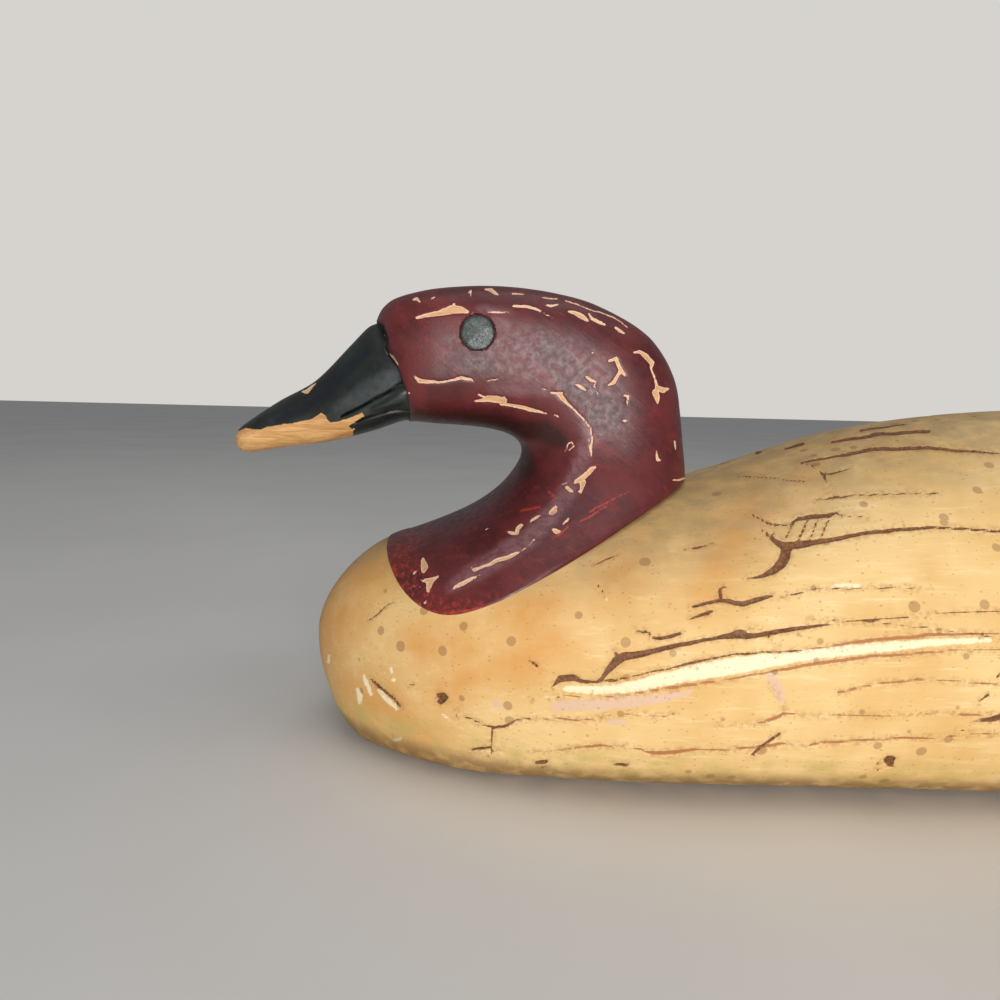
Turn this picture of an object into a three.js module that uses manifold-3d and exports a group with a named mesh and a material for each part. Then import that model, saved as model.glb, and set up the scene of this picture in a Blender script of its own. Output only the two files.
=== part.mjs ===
// Carved wooden duck decoy, bill toward -X, its left side toward -Y, millimetres, +Z up.
// The origin lies in the plane of the flat underside, in the middle of the length and width.
// Pieces: one body block, one head with neck and bill, and two round eyes set into the head.
import * as THREE from 'three';
import { mergeVertices } from 'three/addons/utils/BufferGeometryUtils.js';
import Module from 'manifold-3d';

const wasm = await Module();
wasm.setup();

// Driving dimensions
const LENGTH = 427.6;
const BODY_LENGTH = 397.3;
const BODY_WIDTH = 149;
const HEAD_WIDTH = 52.6;
const BILL_WIDTH = 31;
const SKIRT_WIDTH = 114;
const EYE_DIAMETER = 11.6;
const FIT_GAP = 0.3;

// Body: ends along X, half-widths, the levels of the widest line and of both end points
const TAIL_X = LENGTH / 2;
const BREAST_X = TAIL_X - BODY_LENGTH;
const BODY_HALF = BODY_WIDTH / 2;
const FLAT_HALF = 40.5;
const GIRTH_Z = 45;
const BREAST_Z = 36;
const TAIL_Z = 68;

// Body: how far each rounding runs in from its end, and the power of its curve
const BREAST_PLAN = { run: 128, power: 1.85 };
const TAIL_PLAN = { run: 140, power: 1.7 };
const BREAST_TOP = { run: 33, power: 1.72 };
const TAIL_TOP = { run: 13, power: 2 };
const BREAST_UNDER = { run: 24, power: 2 };
const TAIL_UNDER = { run: 86, power: 2 };
const FLAT_FRONT = { start: 6, run: 59, power: 1.35 };
const FLAT_REAR = { start: 2, run: 108, power: 1.4 };
const LOWER_POWER = 2 / 0.9;
const BODY_STATIONS = 54;
const LOWER_STEPS = 6;
const UPPER_STEPS = 11;

// Head: the skirt's edge, its foot inside the body, and how far the lore reaches over the bill
const SKIRT_EDGE = 0.5;
const SKIRT_DEPTH = 10;
const LORE_REACH = 3.4;
const RING_HALF = 17;
const BILL_RINGS = 15;
const HEAD_RINGS = 44;

// Eyes
const EYE_X = -123.5;
const EYE_Z = 147.4;
const EYE_SETBACK = 0.5;
const EYE_THICKNESS = 2;

// Line of the back from breast to tail, as [x, z].
const back = new THREE.SplineCurve([
  [-200, 69], [-157, 72.6], [-139, 76.4], [-114.5, 82], [-94, 86.2], [-74, 91.2], [-58, 95], [-45, 97.2],
  [-27, 103], [-8, 110], [12, 116.2], [34, 120.8], [60, 124.2], [82, 125.4], [110, 123.4], [140, 116],
  [170, 104.5], [196, 93], [220, 82],
].map(([x, z]) => new THREE.Vector2(x, z)));

/** Quarter of a superellipse: 1 where t is 0 or less, falling to 0 where t is 1. */
function cap(t, power) {
  if (t <= 0) {
    return 1;
  }
  return Math.pow(Math.max(0, 1 - Math.pow(t, power)), 1 / power);
}

/** Height of the back line at x, found by halving the curve's parameter. */
function backHeight(x) {
  let low = 0;
  let high = 1;
  for (let i = 0; i < 40; i += 1) {
    const middle = (low + high) / 2;
    if (back.getPoint(middle).x < x) {
      low = middle;
    } else {
      high = middle;
    }
  }
  return back.getPoint(low).y;
}

/** Share left of a size at x, rounded off toward the breast. */
function breastCap(x, { start = 0, run, power }) {
  return cap((BREAST_X + start + run - x) / run, power);
}

/** Share left of a size at x, rounded off toward the tail. */
function tailCap(x, { start = 0, run, power }) {
  return cap((x - TAIL_X + start + run) / run, power);
}

/** Sizes of the body's cross-section at x: half-widths, heights and the level of the girth. */
function bodySection(x) {
  const half = BODY_HALF * breastCap(x, BREAST_PLAN) * tailCap(x, TAIL_PLAN);
  const ahead = THREE.MathUtils.smoothstep(x, BREAST_X, BREAST_X + 70);
  const astern = THREE.MathUtils.smoothstep(x, 40, TAIL_X);
  const level = THREE.MathUtils.lerp(BREAST_Z, GIRTH_Z, ahead);
  const girth = THREE.MathUtils.lerp(level, TAIL_Z, astern);
  const pole = x < 0 ? BREAST_Z : TAIL_Z;
  const top = pole + (backHeight(x) - pole) * breastCap(x, BREAST_TOP) * tailCap(x, TAIL_TOP);
  const bottom = pole * (1 - breastCap(x, BREAST_UNDER) * tailCap(x, TAIL_UNDER));
  const strip = FLAT_HALF * breastCap(x, FLAT_FRONT) * tailCap(x, FLAT_REAR);
  const flat = Math.min(0.9 * half, strip + 0.05 * half);
  return { half, flat, girth, top, bottom };
}

/** Height of the body's upper surface at (x, y). */
function domeHeight(x, y) {
  const section = bodySection(x);
  const rise = cap(Math.min(1, Math.abs(y) / section.half), 2);
  return section.girth + (section.top - section.girth) * rise;
}

/** Closed skin over rings of equal length, each end drawn in to one point. */
function skinRings(rings, first, last) {
  const count = rings[0].length;
  const points = [first, ...rings.flat(), last];
  const faces = [];
  for (let j = 0; j < count; j += 1) {
    const next = (j + 1) % count;
    faces.push(0, 1 + j, 1 + next);
    const end = 1 + (rings.length - 1) * count;
    faces.push(end + j, points.length - 1, end + next);
    for (let i = 0; i + 1 < rings.length; i += 1) {
      const a = 1 + i * count + j;
      const b = 1 + i * count + next;
      faces.push(a, a + count, b);
      faces.push(b, a + count, b + count);
    }
  }
  const geometry = new THREE.BufferGeometry().setFromPoints(points);
  geometry.setIndex(faces);
  return geometry;
}

/** Half of a body section from the underside's edge up to the back, as [y, z]. */
function bodyHalfRing(section, grow) {
  const half = section.half + grow;
  const flat = section.flat;
  const below = section.girth - section.bottom + grow;
  const above = section.top - section.girth + grow;
  const points = [];
  for (let i = 0; i < LOWER_STEPS; i += 1) {
    const angle = (i / LOWER_STEPS) * Math.PI / 2;
    const y = flat + (half - flat) * Math.pow(Math.sin(angle), 2 / LOWER_POWER);
    points.push([y, section.girth - below * Math.pow(Math.cos(angle), 2 / LOWER_POWER)]);
  }
  for (let i = 0; i <= UPPER_STEPS; i += 1) {
    const angle = (i / UPPER_STEPS) * Math.PI / 2;
    points.push([half * Math.cos(angle), section.girth + above * Math.sin(angle)]);
  }
  return points;
}

/** The body block, its surface moved out by grow. */
function bodyGeometry(grow) {
  const rings = [];
  for (let i = 1; i < BODY_STATIONS; i += 1) {
    const x = TAIL_X - BODY_LENGTH * (1 + Math.cos(Math.PI * i / BODY_STATIONS)) / 2;
    const side = bodyHalfRing(bodySection(x), grow);
    const near = side.map(([y, z]) => new THREE.Vector3(x, -y, z));
    const far = side.slice(0, -1).reverse().map(([y, z]) => new THREE.Vector3(x, y, z));
    rings.push([...near.slice(0, -1), new THREE.Vector3(x, 0, side.at(-1)[1]), ...far]);
  }
  const nose = new THREE.Vector3(BREAST_X - grow, 0, BREAST_Z);
  const tail = new THREE.Vector3(TAIL_X + grow, 0, TAIL_Z);
  return skinRings(rings, nose, tail);
}

/**
 * One cross-section of the head: the [x, z] of its lower and upper point, its half-width as a
 * share of the piece's width, where it is widest on the way up, how square it is below and
 * above that level, and the share of the way that it has sunk onto the body.
 */
function station(low, high, half, widest, square, sink = 0) {
  return { low, high, half, widest, square, sink };
}

// Bill, from its tip to the border with the head.
const BILL = [
  station([-213.1, 105], [-213.8, 110.2], 0.3, 0.6, [3, 2]),
  station([-211.9, 103.7], [-211.9, 112.7], 0.53, 0.58, [3, 2]),
  station([-207.9, 103], [-208.2, 115.6], 0.68, 0.52, [3, 1.9]),
  station([-195.9, 105.1], [-198.1, 122.5], 0.74, 0.42, [3, 1.8]),
  station([-179, 107.7], [-184.5, 130.4], 0.78, 0.36, [3, 1.8]),
  station([-163.9, 111.6], [-171.8, 143.1], 0.88, 0.32, [2.8, 1.9]),
  station([-152.9, 115.6], [-165.2, 149.9], 0.97, 0.32, [2.6, 2]),
  station([-149.3, 116.3], [-161.8, 151.7], 1, 0.32, [2.6, 2]),
];

// Head and neck, from the bill's border over the crown and down to the skirt.
const NECK = [
  station([-149.1, 115.8], [-160.4, 153.6], 0.66, 0.42, [2.6, 2.6]),
  station([-146.9, 115.9], [-158, 157.6], 0.82, 0.44, [2.5, 2.8]),
  station([-143.9, 115.8], [-152.6, 160.7], 0.93, 0.46, [2.5, 3.3]),
  station([-137.8, 115.3], [-141.1, 163.4], 0.99, 0.48, [2.5, 3.8]),
  station([-130.3, 115], [-128.2, 164.8], 1, 0.5, [2.5, 4]),
  station([-122.7, 114.4], [-114.6, 165], 1, 0.5, [2.5, 4]),
  station([-116.3, 113.4], [-99.7, 163.6], 1, 0.5, [2.5, 4]),
  station([-112.1, 112.1], [-84.8, 160.4], 1, 0.5, [2.4, 3.8]),
  station([-109, 110.2], [-71.7, 154.8], 1, 0.49, [2.3, 3.6]),
  station([-107.3, 107.9], [-62.3, 148.8], 1, 0.48, [2.2, 3.4]),
  station([-107, 105.2], [-55.7, 141], 1, 0.47, [2.1, 3.2]),
  station([-108, 102.2], [-51.1, 132.2], 1.01, 0.46, [2, 3], 0.01),
  station([-110.3, 98.8], [-48.9, 122.5], 1.05, 0.45, [2, 2.8], 0.04),
  station([-114.1, 95], [-47.4, 113.2], 1.14, 0.43, [2, 2.6], 0.12),
  station([-120, 90.6], [-46.2, 106.2], 1.3, 0.41, [2, 2.4], 0.25),
  station([-128.3, 85.9], [-45.6, 102.4], 1.53, 0.38, [2, 2.2], 0.45),
  station([-139.3, 80.8], [-45.3, 100.2], 1.8, 0.37, [2, 2], 0.68),
  station([-148.8, 76.4], [-45.1, 98.8], 2.04, 0.375, [2.1, 1.8], 0.87),
  station([-156.5, 73], [-45, 97.8], SKIRT_WIDTH / HEAD_WIDTH, 0.38, [2.2, 1.6], 1),
];

/** Smooth curve through one quantity of every station. */
function through(stations, pick) {
  return new THREE.SplineCurve(stations.map((station, i) => new THREE.Vector2(i, pick(station))));
}

/** Curves of every quantity along a run of stations. */
function runCurves(stations, width, lore) {
  return {
    low: new THREE.SplineCurve(stations.map(({ low }) => new THREE.Vector2(...low))),
    high: new THREE.SplineCurve(stations.map(({ high }) => new THREE.Vector2(...high))),
    half: through(stations, ({ half }) => half * width / 2),
    widest: through(stations, ({ widest }) => widest),
    under: through(stations, ({ square }) => square[0]),
    over: through(stations, ({ square }) => square[1]),
    sink: through(stations, ({ sink }) => sink),
    lore,
  };
}

const billCurves = runCurves(BILL, BILL_WIDTH, (t) => LORE_REACH * Math.pow(t, 3));
const neckCurves = runCurves(NECK, HEAD_WIDTH, (t) => LORE_REACH * Math.pow(Math.max(0, 1 - 6 * t), 2));

/** Point on a section at share a from the lower to the upper line, at lateral share s. */
function sectionPoint(curves, t, a, s, side) {
  const low = curves.low.getPoint(t);
  const high = curves.high.getPoint(t);
  const half = curves.half.getPoint(t).y;
  const sink = Math.max(0, curves.sink.getPoint(t).y);
  const bulge = curves.lore(t) * s * Math.exp(-Math.pow((a - 0.27) / 0.2, 2));
  const x = low.x + (high.x - low.x) * a + bulge;
  const z = low.y + (high.y - low.y) * a;
  const y = half * s;
  if (sink === 0) {
    return new THREE.Vector3(x, side * y, z);
  }
  const seat = domeHeight(x, y) + FIT_GAP + SKIRT_EDGE;
  return new THREE.Vector3(x, side * y, THREE.MathUtils.lerp(z, seat, sink));
}

/** One ring of the head, from the lower line up the near side and down the far side. */
function headRing(curves, t) {
  const widest = curves.widest.getPoint(t).y;
  const under = curves.under.getPoint(t).y;
  const over = curves.over.getPoint(t).y;
  const near = [];
  for (let i = 0; i <= RING_HALF; i += 1) {
    const angle = Math.PI * i / RING_HALF;
    const power = 2 / (angle < Math.PI / 2 ? under : over);
    const reach = Math.pow(Math.abs(Math.cos(angle)), power);
    const a = angle < Math.PI / 2 ? widest * (1 - reach) : widest + (1 - widest) * reach;
    near.push([a, Math.pow(Math.sin(Math.PI * Math.min(i, RING_HALF - i) / RING_HALF), power)]);
  }
  const left = near.map(([a, s]) => sectionPoint(curves, t, a, s, -1));
  const right = near.slice(1, -1).reverse().map(([a, s]) => sectionPoint(curves, t, a, s, 1));
  return [...left, ...right];
}

/** Head, neck and bill as one closed skin whose foot reaches down inside the body. */
function headGeometry() {
  const rings = [];
  for (let i = 0; i < BILL_RINGS; i += 1) {
    rings.push(headRing(billCurves, i / (BILL_RINGS - 1)));
  }
  for (let i = 0; i < HEAD_RINGS; i += 1) {
    rings.push(headRing(neckCurves, i / (HEAD_RINGS - 1)));
  }
  rings.push(rings.at(-1).map(({ x, y, z }) => new THREE.Vector3(x, y, z - SKIRT_DEPTH)));
  const tip = rings[0].reduce((sum, point) => sum.add(point), new THREE.Vector3());
  const foot = rings.at(-1).reduce((sum, point) => sum.add(point), new THREE.Vector3());
  return skinRings(rings, tip.divideScalar(rings[0].length), foot.divideScalar(rings[0].length));
}

/** Half-round cutter along the bill's side, through [t, a] pairs. */
function grooveGeometry(stops, radius, side) {
  const points = stops.map(([t, a, lift]) => {
    const widest = billCurves.widest.getPoint(t).y;
    const below = a < widest;
    const power = below ? billCurves.under.getPoint(t).y : billCurves.over.getPoint(t).y;
    const reach = below ? (widest - a) / widest : (a - widest) / (1 - widest);
    const point = sectionPoint(billCurves, t, a, cap(reach, power), side);
    point.y += side * lift;
    return point;
  });
  const outline = new THREE.Shape();
  outline.absarc(0, 0, radius, 0, 2 * Math.PI, false);
  const path = new THREE.CatmullRomCurve3(points);
  const options = { steps: 9, curveSegments: 4, bevelEnabled: false, extrudePath: path };
  return new THREE.ExtrudeGeometry(outline, options);
}

/** Solid for joining and cutting, from a closed geometry. */
function toSolid(geometry) {
  const bare = geometry.clone();
  bare.deleteAttribute('normal');
  bare.deleteAttribute('uv');
  const merged = mergeVertices(bare, 1e-4);
  return new wasm.Manifold(new wasm.Mesh({
    numProp: 3,
    vertProperties: new Float32Array(merged.attributes.position.array),
    triVerts: new Uint32Array(merged.index.array),
  }));
}

/** Geometry for display, from a solid. */
function toGeometry(solid) {
  const mesh = solid.getMesh();
  const geometry = new THREE.BufferGeometry();
  geometry.setAttribute('position', new THREE.BufferAttribute(mesh.vertProperties, 3));
  geometry.setIndex(new THREE.BufferAttribute(mesh.triVerts, 1));
  geometry.computeVertexNormals();
  return geometry;
}

/** Round disc on the Y axis with a slightly domed face, its back at depth zero. */
function discGeometry(radius, thickness, dome, side) {
  const profile = [[0, 0], [radius, 0], [radius, thickness]];
  for (let i = 1; i <= 3; i += 1) {
    const share = 1 - i / 3;
    profile.push([radius * share, thickness + dome * (1 - share * share)]);
  }
  const geometry = new THREE.LatheGeometry(profile.map(([r, h]) => new THREE.Vector2(r, h)), 24);
  geometry.rotateX(side < 0 ? Math.PI : 0);
  return geometry;
}

const headHalf = HEAD_WIDTH / 2;
const eyeFace = headHalf - EYE_SETBACK;
const eyeBack = eyeFace - EYE_THICKNESS;

let head = toSolid(headGeometry()).subtract(toSolid(bodyGeometry(FIT_GAP)));
for (const side of [-1, 1]) {
  const socket = discGeometry(EYE_DIAMETER / 2 + FIT_GAP, 9, 0, side);
  socket.translate(EYE_X, side * (eyeBack - FIT_GAP), EYE_Z);
  head = head.subtract(toSolid(socket));
  const mouth = [[0.62, 0.3, 1], [0.7, 0.33, 0.1], [0.8, 0.36, 0], [0.9, 0.37, 0], [1, 0.38, 0]];
  const edge = [[0.7, 0.1, 1], [0.78, 0.12, 0.1], [0.86, 0.13, 0], [0.93, 0.13, 0], [1, 0.13, 0]];
  head = head.subtract(toSolid(grooveGeometry(mouth, 0.9, side)));
  head = head.subtract(toSolid(grooveGeometry(edge, 0.7, side)));
}

/** Named piece with its own finish. */
function piece(name, geometry, color, roughness) {
  const material = new THREE.MeshStandardMaterial({ color, roughness, metalness: 0 });
  const mesh = new THREE.Mesh(geometry, material);
  mesh.name = name;
  return mesh;
}

const decoy = new THREE.Group();
decoy.add(piece('body', bodyGeometry(0), 0xd9b478, 0.6));
decoy.add(piece('head', toGeometry(head), 0x6b2f30, 0.5));
for (const [name, side] of [['eye_left', -1], ['eye_right', 1]]) {
  const eye = discGeometry(EYE_DIAMETER / 2, EYE_THICKNESS - 0.4, 0.4, side);
  eye.deleteAttribute('uv');
  const mesh = piece(name, eye, 0x26302c, 0.35);
  mesh.position.set(EYE_X, side * eyeBack, EYE_Z);
  decoy.add(mesh);
}

export default decoy;
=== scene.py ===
"""Old painted wooden duck decoy: carved skins, worn paint and set-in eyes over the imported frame.

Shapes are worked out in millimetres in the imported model's frame and become metres in the meshes.
The bill points to -X, the near side faces -Y, and the flat underside lies on the floor.
"""
import itertools
import logging
import math
from collections.abc import Callable, Sequence
from dataclasses import dataclass, field
from enum import Enum

import bpy
import numpy as np
from mathutils import Matrix, Vector


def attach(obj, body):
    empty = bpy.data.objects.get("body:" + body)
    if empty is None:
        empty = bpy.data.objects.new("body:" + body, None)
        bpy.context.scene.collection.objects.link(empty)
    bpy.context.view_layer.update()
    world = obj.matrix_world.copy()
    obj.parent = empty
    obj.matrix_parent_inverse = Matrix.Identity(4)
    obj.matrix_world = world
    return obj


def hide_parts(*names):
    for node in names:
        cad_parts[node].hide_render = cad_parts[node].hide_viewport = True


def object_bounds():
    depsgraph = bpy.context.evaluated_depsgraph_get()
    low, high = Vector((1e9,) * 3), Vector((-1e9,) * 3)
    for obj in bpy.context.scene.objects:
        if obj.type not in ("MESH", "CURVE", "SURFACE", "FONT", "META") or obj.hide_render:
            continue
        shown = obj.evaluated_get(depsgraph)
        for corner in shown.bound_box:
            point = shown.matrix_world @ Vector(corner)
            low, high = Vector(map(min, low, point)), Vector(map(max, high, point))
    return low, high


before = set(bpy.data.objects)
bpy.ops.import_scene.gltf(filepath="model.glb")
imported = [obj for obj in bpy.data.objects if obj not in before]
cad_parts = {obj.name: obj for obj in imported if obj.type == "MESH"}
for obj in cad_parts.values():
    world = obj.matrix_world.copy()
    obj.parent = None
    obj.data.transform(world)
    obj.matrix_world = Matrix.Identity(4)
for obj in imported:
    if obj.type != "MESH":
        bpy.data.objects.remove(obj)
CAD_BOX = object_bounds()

LOG = logging.getLogger("decoy")
MM = 0.001
ROOT = "root"

Strokes = tuple[tuple[tuple[float, float, float], ...], ...]
Outline = tuple[tuple[float, float], ...]
Colour = tuple[float, float, float]

# The tables of marks are a drawing of the near side, read off the photograph in its own
# pixels, 1000 each way. Sighting turns them into millimetres and says where on the skin they fall.
# A stroke is a chain of x, y, half-width, and an outline is a closed line of x, y.

# Places on the head where the paint has come off, down to the wood or its pale ground.
HEAD_CHIPS: Strokes = (
    ((416.4, 317.5, 1.2), (425.7, 315.5, 1.8), (438, 313.4, 2.5), (447.3, 311, 3.6), (452.5, 308.9, 4.2),
     (460.8, 309.9, 3.4), (468, 312, 1.4)),
    ((452.5, 308, 2.5), (454, 303.6, 1)),
    ((486, 312.4, 0.6), (494, 312, 0.9), (509, 312.8, 0.6)),
    ((413, 299.5, 0.8), (417, 298.2, 1.5), (419.5, 301.5, 1)),
    ((431, 298.5, 0.6), (435, 297, 0.6)),
    ((468, 293, 0.5), (470.5, 290.5, 0.8), (471, 295.5, 0.5)),
    ((485.5, 288.7, 0.8), (491.5, 289.5, 1.8), (495, 292.5, 1.6), (498, 294.3, 0.7)),
    ((512, 293.5, 0.6), (524, 294, 0.6)),
    ((513.5, 305.8, 0.9), (526.8, 306.4, 1.4), (535, 308.5, 1.2), (541, 311, 1)),
    ((543.5, 312.8, 0.5), (552.5, 318, 0.6)),
    ((545.6, 304.5, 0.7), (551.5, 306, 1.4), (557.5, 304.3, 0.7)),
    ((543, 297, 0.5), (557.7, 298.5, 0.6)),
    ((565, 300.6, 0.5), (576, 303.7, 0.6), (588.6, 308.9, 0.6), (597, 311, 0.5), (613.4, 317, 0.5),
     (621.6, 322.3, 0.5), (627.8, 327.4, 0.5)),
    ((568, 310.5, 0.9), (576, 313, 2), (583, 317, 2.5), (587.6, 320.5, 1.4)),
    ((588.6, 313, 0.8), (592, 318, 1.4), (600, 322, 1.5), (605, 324.3, 0.8)),
    ((615.5, 327.4, 1), (620, 331, 1.6), (624.7, 333.2, 0.8)),
    ((634, 352.6, 0.8), (640, 351.5, 1.6), (646.4, 356.3, 2.6), (652.6, 362.5, 2.4), (651.5, 368.7, 1),
     (655.7, 379, 0.9), (657.7, 387.3, 1.6)),
    ((657.7, 388, 2.5), (663.5, 390.3, 2.9), (669, 389, 0.9)),
    ((655.7, 392.5, 3.4), (657.5, 398, 2.5), (658, 403, 0.8)),
    ((609.3, 360.5, 1), (616.5, 358.4, 1.7), (617.5, 362.5, 1.7), (620.6, 369.7, 1.8), (624.7, 375.3, 1.2)),
    ((620, 371, 1.5), (617, 377, 1.6), (614, 382.5, 2), (608.5, 385.3, 1)),
    ((592.8, 352.8, 1.1),),
    ((584.5, 371, 0.6),),
    ((586.6, 377, 0.9), (591.5, 380.5, 1.5), (596, 382, 1), (594, 386, 0.8), (598, 394, 0.7)),
    ((576.3, 384.3, 1), (581, 387, 1.7), (585.5, 390.3, 0.8)),
    ((589.6, 398.6, 0.6),),
    ((590.5, 403.5, 0.6),),
    ((625, 395.7, 1.2), (628.5, 396.5, 1.2), (627.4, 402, 0.8), (627.4, 407, 0.4)),
    ((622.8, 420.3, 0.8), (625.5, 420.8, 1.5)),
    ((654.6, 410.4, 0.7),),
    ((414.4, 376.5, 0.9), (419.5, 381, 2.2), (431.9, 382.1, 1.6), (439, 382.7, 0.9), (450.4, 380.7, 0.9),
     (461, 378.4, 1.6), (471, 379.5, 1.3), (474, 381.5, 0.5)),
    ((487.6, 381, 0.5), (498, 379, 0.6)),
    ((475, 401.3, 0.8), (482.4, 400.5, 1.7), (488, 399, 3), (497, 399.5, 3.6), (504, 400.5, 3),
     (501, 404, 1.8), (512, 405.5, 1.5), (526, 408.5, 1.7), (539, 412, 1.3), (546, 413.5, 0.6)),
    ((478.3, 394.5, 0.8), (485.5, 398, 1)),
    ((504, 396.5, 0.7), (505, 401.5, 0.8)),
    ((540, 389, 0.5), (546.4, 389.3, 0.6)),
    ((550.5, 392.4, 0.7), (558, 393.5, 1.6), (561.8, 393, 1.3)),
    ((559, 394, 2), (562, 398, 2.4), (568, 403.8, 1.1), (576.3, 412, 0.9), (584.5, 420.3, 0.9),
     (590, 428, 0.8), (592, 438, 0.9), (591, 450, 1.2), (592, 457, 0.7)),
    ((588.5, 438, 0.5), (589.5, 448, 0.5)),
    ((554.6, 415, 0.9), (558.7, 417, 0.5)),
    ((565, 452, 0.5), (568, 444, 0.6), (572, 442, 0.7), (574, 446, 0.5), (569, 450, 0.5)),
    ((656, 449, 0.4), (656.6, 455, 0.8), (657.6, 459.5, 1.7), (660, 460, 0.8)),
    ((675, 441, 0.7), (675.5, 446, 0.9), (676, 450, 0.4)),
    ((595.5, 467, 0.9), (591, 469, 2.6), (587, 474, 2.6), (582, 478, 3), (577, 481, 2), (574.5, 483, 0.8)),
    ((583, 482, 3), (581.5, 488, 1.8), (580.5, 493, 0.8)),
    ((561, 484, 0.4), (567, 482.5, 0.5)),
    ((567, 487, 1.7), (570.5, 490, 1.6), (573, 491, 0.7)),
    ((578, 491, 0.8),),
    ((556, 506, 1.2), (554, 510, 3.2), (551.5, 512.5, 2.4)),
    ((553.5, 529.5, 1.6), (556, 531, 2.8), (559, 531.5, 1.6)),
    ((563, 524, 0.8), (567, 520, 1.3), (569, 517, 0.6)),
    ((529, 522, 0.4), (533, 519.5, 1.4), (538, 516.5, 1.3), (541, 515, 0.4)),
    ((508.5, 531, 1.2), (512, 533, 1.7), (517, 533.5, 1.6), (517.5, 529, 1.9), (520.5, 526, 1.7),
     (523, 524.3, 0.8)),
    ((485, 529.5, 0.4), (488.5, 528, 0.7)),
    ((472, 567, 0.9), (474.5, 570, 1.7), (482, 567, 1.3), (490, 564, 1.7), (497, 560, 1.9),
     (504, 558.5, 1.9), (511, 555.5, 1.9), (518.5, 552, 1.1)),
    ((518.5, 552, 0.6), (526, 547, 0.5), (534, 539, 0.7)),
    ((453, 588, 1.3), (462, 583.5, 2), (470, 579, 1.7), (480, 574.5, 0.5)),
    ((422.5, 557.5, 1), (423, 562, 2.6), (424, 566.5, 3.7), (423.5, 570, 2.6)),
    ((413, 574, 1.1), (416.5, 570, 0.8)),
    ((421, 580, 0.9), (426, 580.5, 2.4), (432, 579.5, 2.6), (440, 575.5, 0.7)),
    ((430, 583, 3), (428.5, 588, 2.2), (427.5, 594, 0.7)),
    ((412, 586.5, 1), (420, 586.5, 0.6)),
    ((420, 604, 0.7), (424.5, 603, 1), (428.5, 600.5, 0.6)),
    ((673, 480, 0.5), (680, 479.5, 1), (685, 478, 1)),
    ((408.5, 393, 0.9),),
    ((383, 329, 0.4), (385, 339.5, 0.4), (384.5, 347, 0.5), (388, 354.2, 1.2), (393, 357.4, 1.1),
     (398, 365, 0.7)),
    ((302, 391, 0.9), (306.5, 391.5, 2), (310, 388, 1.5), (315.5, 382.5, 0.5)),
    ((353.8, 429.7, 1),),
)

# Rubs on the neck where an older, brighter red shows.
HEAD_SCRATCHES: Strokes = (
    ((520, 511, 0.8), (530, 509, 1.2), (540, 507, 0.8)),
    ((549, 492, 0.9), (555, 497, 1.1), (553, 502, 0.7)),
    ((556, 536, 1.2), (562, 532, 1.6), (568, 526, 1)),
    ((580, 521, 0.7), (592, 515, 1), (606, 506, 0.6)),
    ((586, 513, 0.5), (598, 507, 0.8), (612, 499, 0.5)),
    ((600, 506, 0.4), (612, 500, 0.5), (628, 491, 0.4)),
    ((433, 611, 0.9), (450, 612, 1.3), (468, 611, 1.3), (485, 607.5, 1.2), (500, 602, 0.9)),
)

# Painted highlight: grey-violet sheen along the ridges of the neck and cheek and above the eye, where they
# face the light.
HEAD_SHEEN: Strokes = (
    ((586, 425, 3), (588, 440, 5), (580, 462, 6), (572, 485, 6), (557, 508, 7), (532, 535, 8),
     (502, 555, 8), (472, 574, 7), (452, 587, 4)),
    ((492, 389, 1.5), (508, 389.5, 3), (524, 391, 2.5), (545, 392, 2)),
    ((496, 320, 1.5), (506, 324, 1.5)),
    ((480, 309, 1.2), (495, 309.5, 1.6), (509, 312, 1)),
)

# Painted shade under the jaw and in the throat, where the surface turns down and away from the light.
HEAD_JAW_SHADE: Strokes = (
    ((410, 417, 6), (450, 419, 7), (490, 421, 7), (520, 430, 8), (545, 432, 10), (560, 440, 7)),
    ((522, 452, 8), (528, 470, 8)),
)

# Cut that parts the upper from the lower half of the bill.
BILL_MOUTH: Strokes = (
    ((400, 382.5, 0.9), (398, 385.5, 1.3), (388, 392, 1.3), (375, 398.3, 1.2), (362.4, 406, 1.1),
     (349.6, 412.4, 1), (341, 416.5, 0.7)),
)

# Second cut, under the lump at the corner of the mouth.
BILL_LOWER_CUT: Strokes = (
    ((408, 411, 0.7), (388, 412.4, 0.8), (381.6, 414.3, 0.8), (368.8, 417.5, 0.8), (356, 422.6, 0.7)),
)

# Edge along the bare wood of the bill, above its lower bevel.
BILL_CHIN_LINE: Strokes = (
    ((352, 430.3, 0.5), (330, 430.6, 0.6), (305, 431, 0.6), (266, 433, 0.6), (237, 433.6, 0.5)),
)

# Lump of filler at the corner of the mouth.
BILL_LUMP: Strokes = (
    ((404, 392, 5), (398, 399, 6), (386, 405, 4), (374, 409, 2)),
)

# Hollow along the side of the bill; the finish also darkens it with painted shade.
BILL_VALLEY: Strokes = (
    ((366, 352, 3.5), (352, 364, 5), (338, 378, 5.5), (322, 394, 5), (300, 408, 4), (275, 419, 3)),
)

# Painted highlight: grey sheen on the side plane of the bill, where it faces the light.
BILL_SHEEN: Strokes = (
    ((396, 372, 5), (388, 380, 8), (372, 388, 9), (356, 398, 7), (338, 408, 4)),
)

# Outline of the bare wood at the tip of the bill.
BARE_BILL: Outline = (
    (236.3, 431.6), (246, 427.8), (252, 429), (260, 429.7), (266.4, 427), (275, 425.6), (284.3, 424),
    (292, 423.3), (299.7, 421.4), (310, 419.4), (316, 416.5), (320.2, 413), (325.3, 415), (327, 419),
    (330.4, 422.6), (338, 421.4), (350.9, 417.5), (362.4, 412.4), (364.3, 416.2), (356, 421.4),
    (348.3, 426.5), (352.8, 429.7), (353.4, 436), (330, 450), (240, 462), (225, 450), (228, 434),
)

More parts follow.
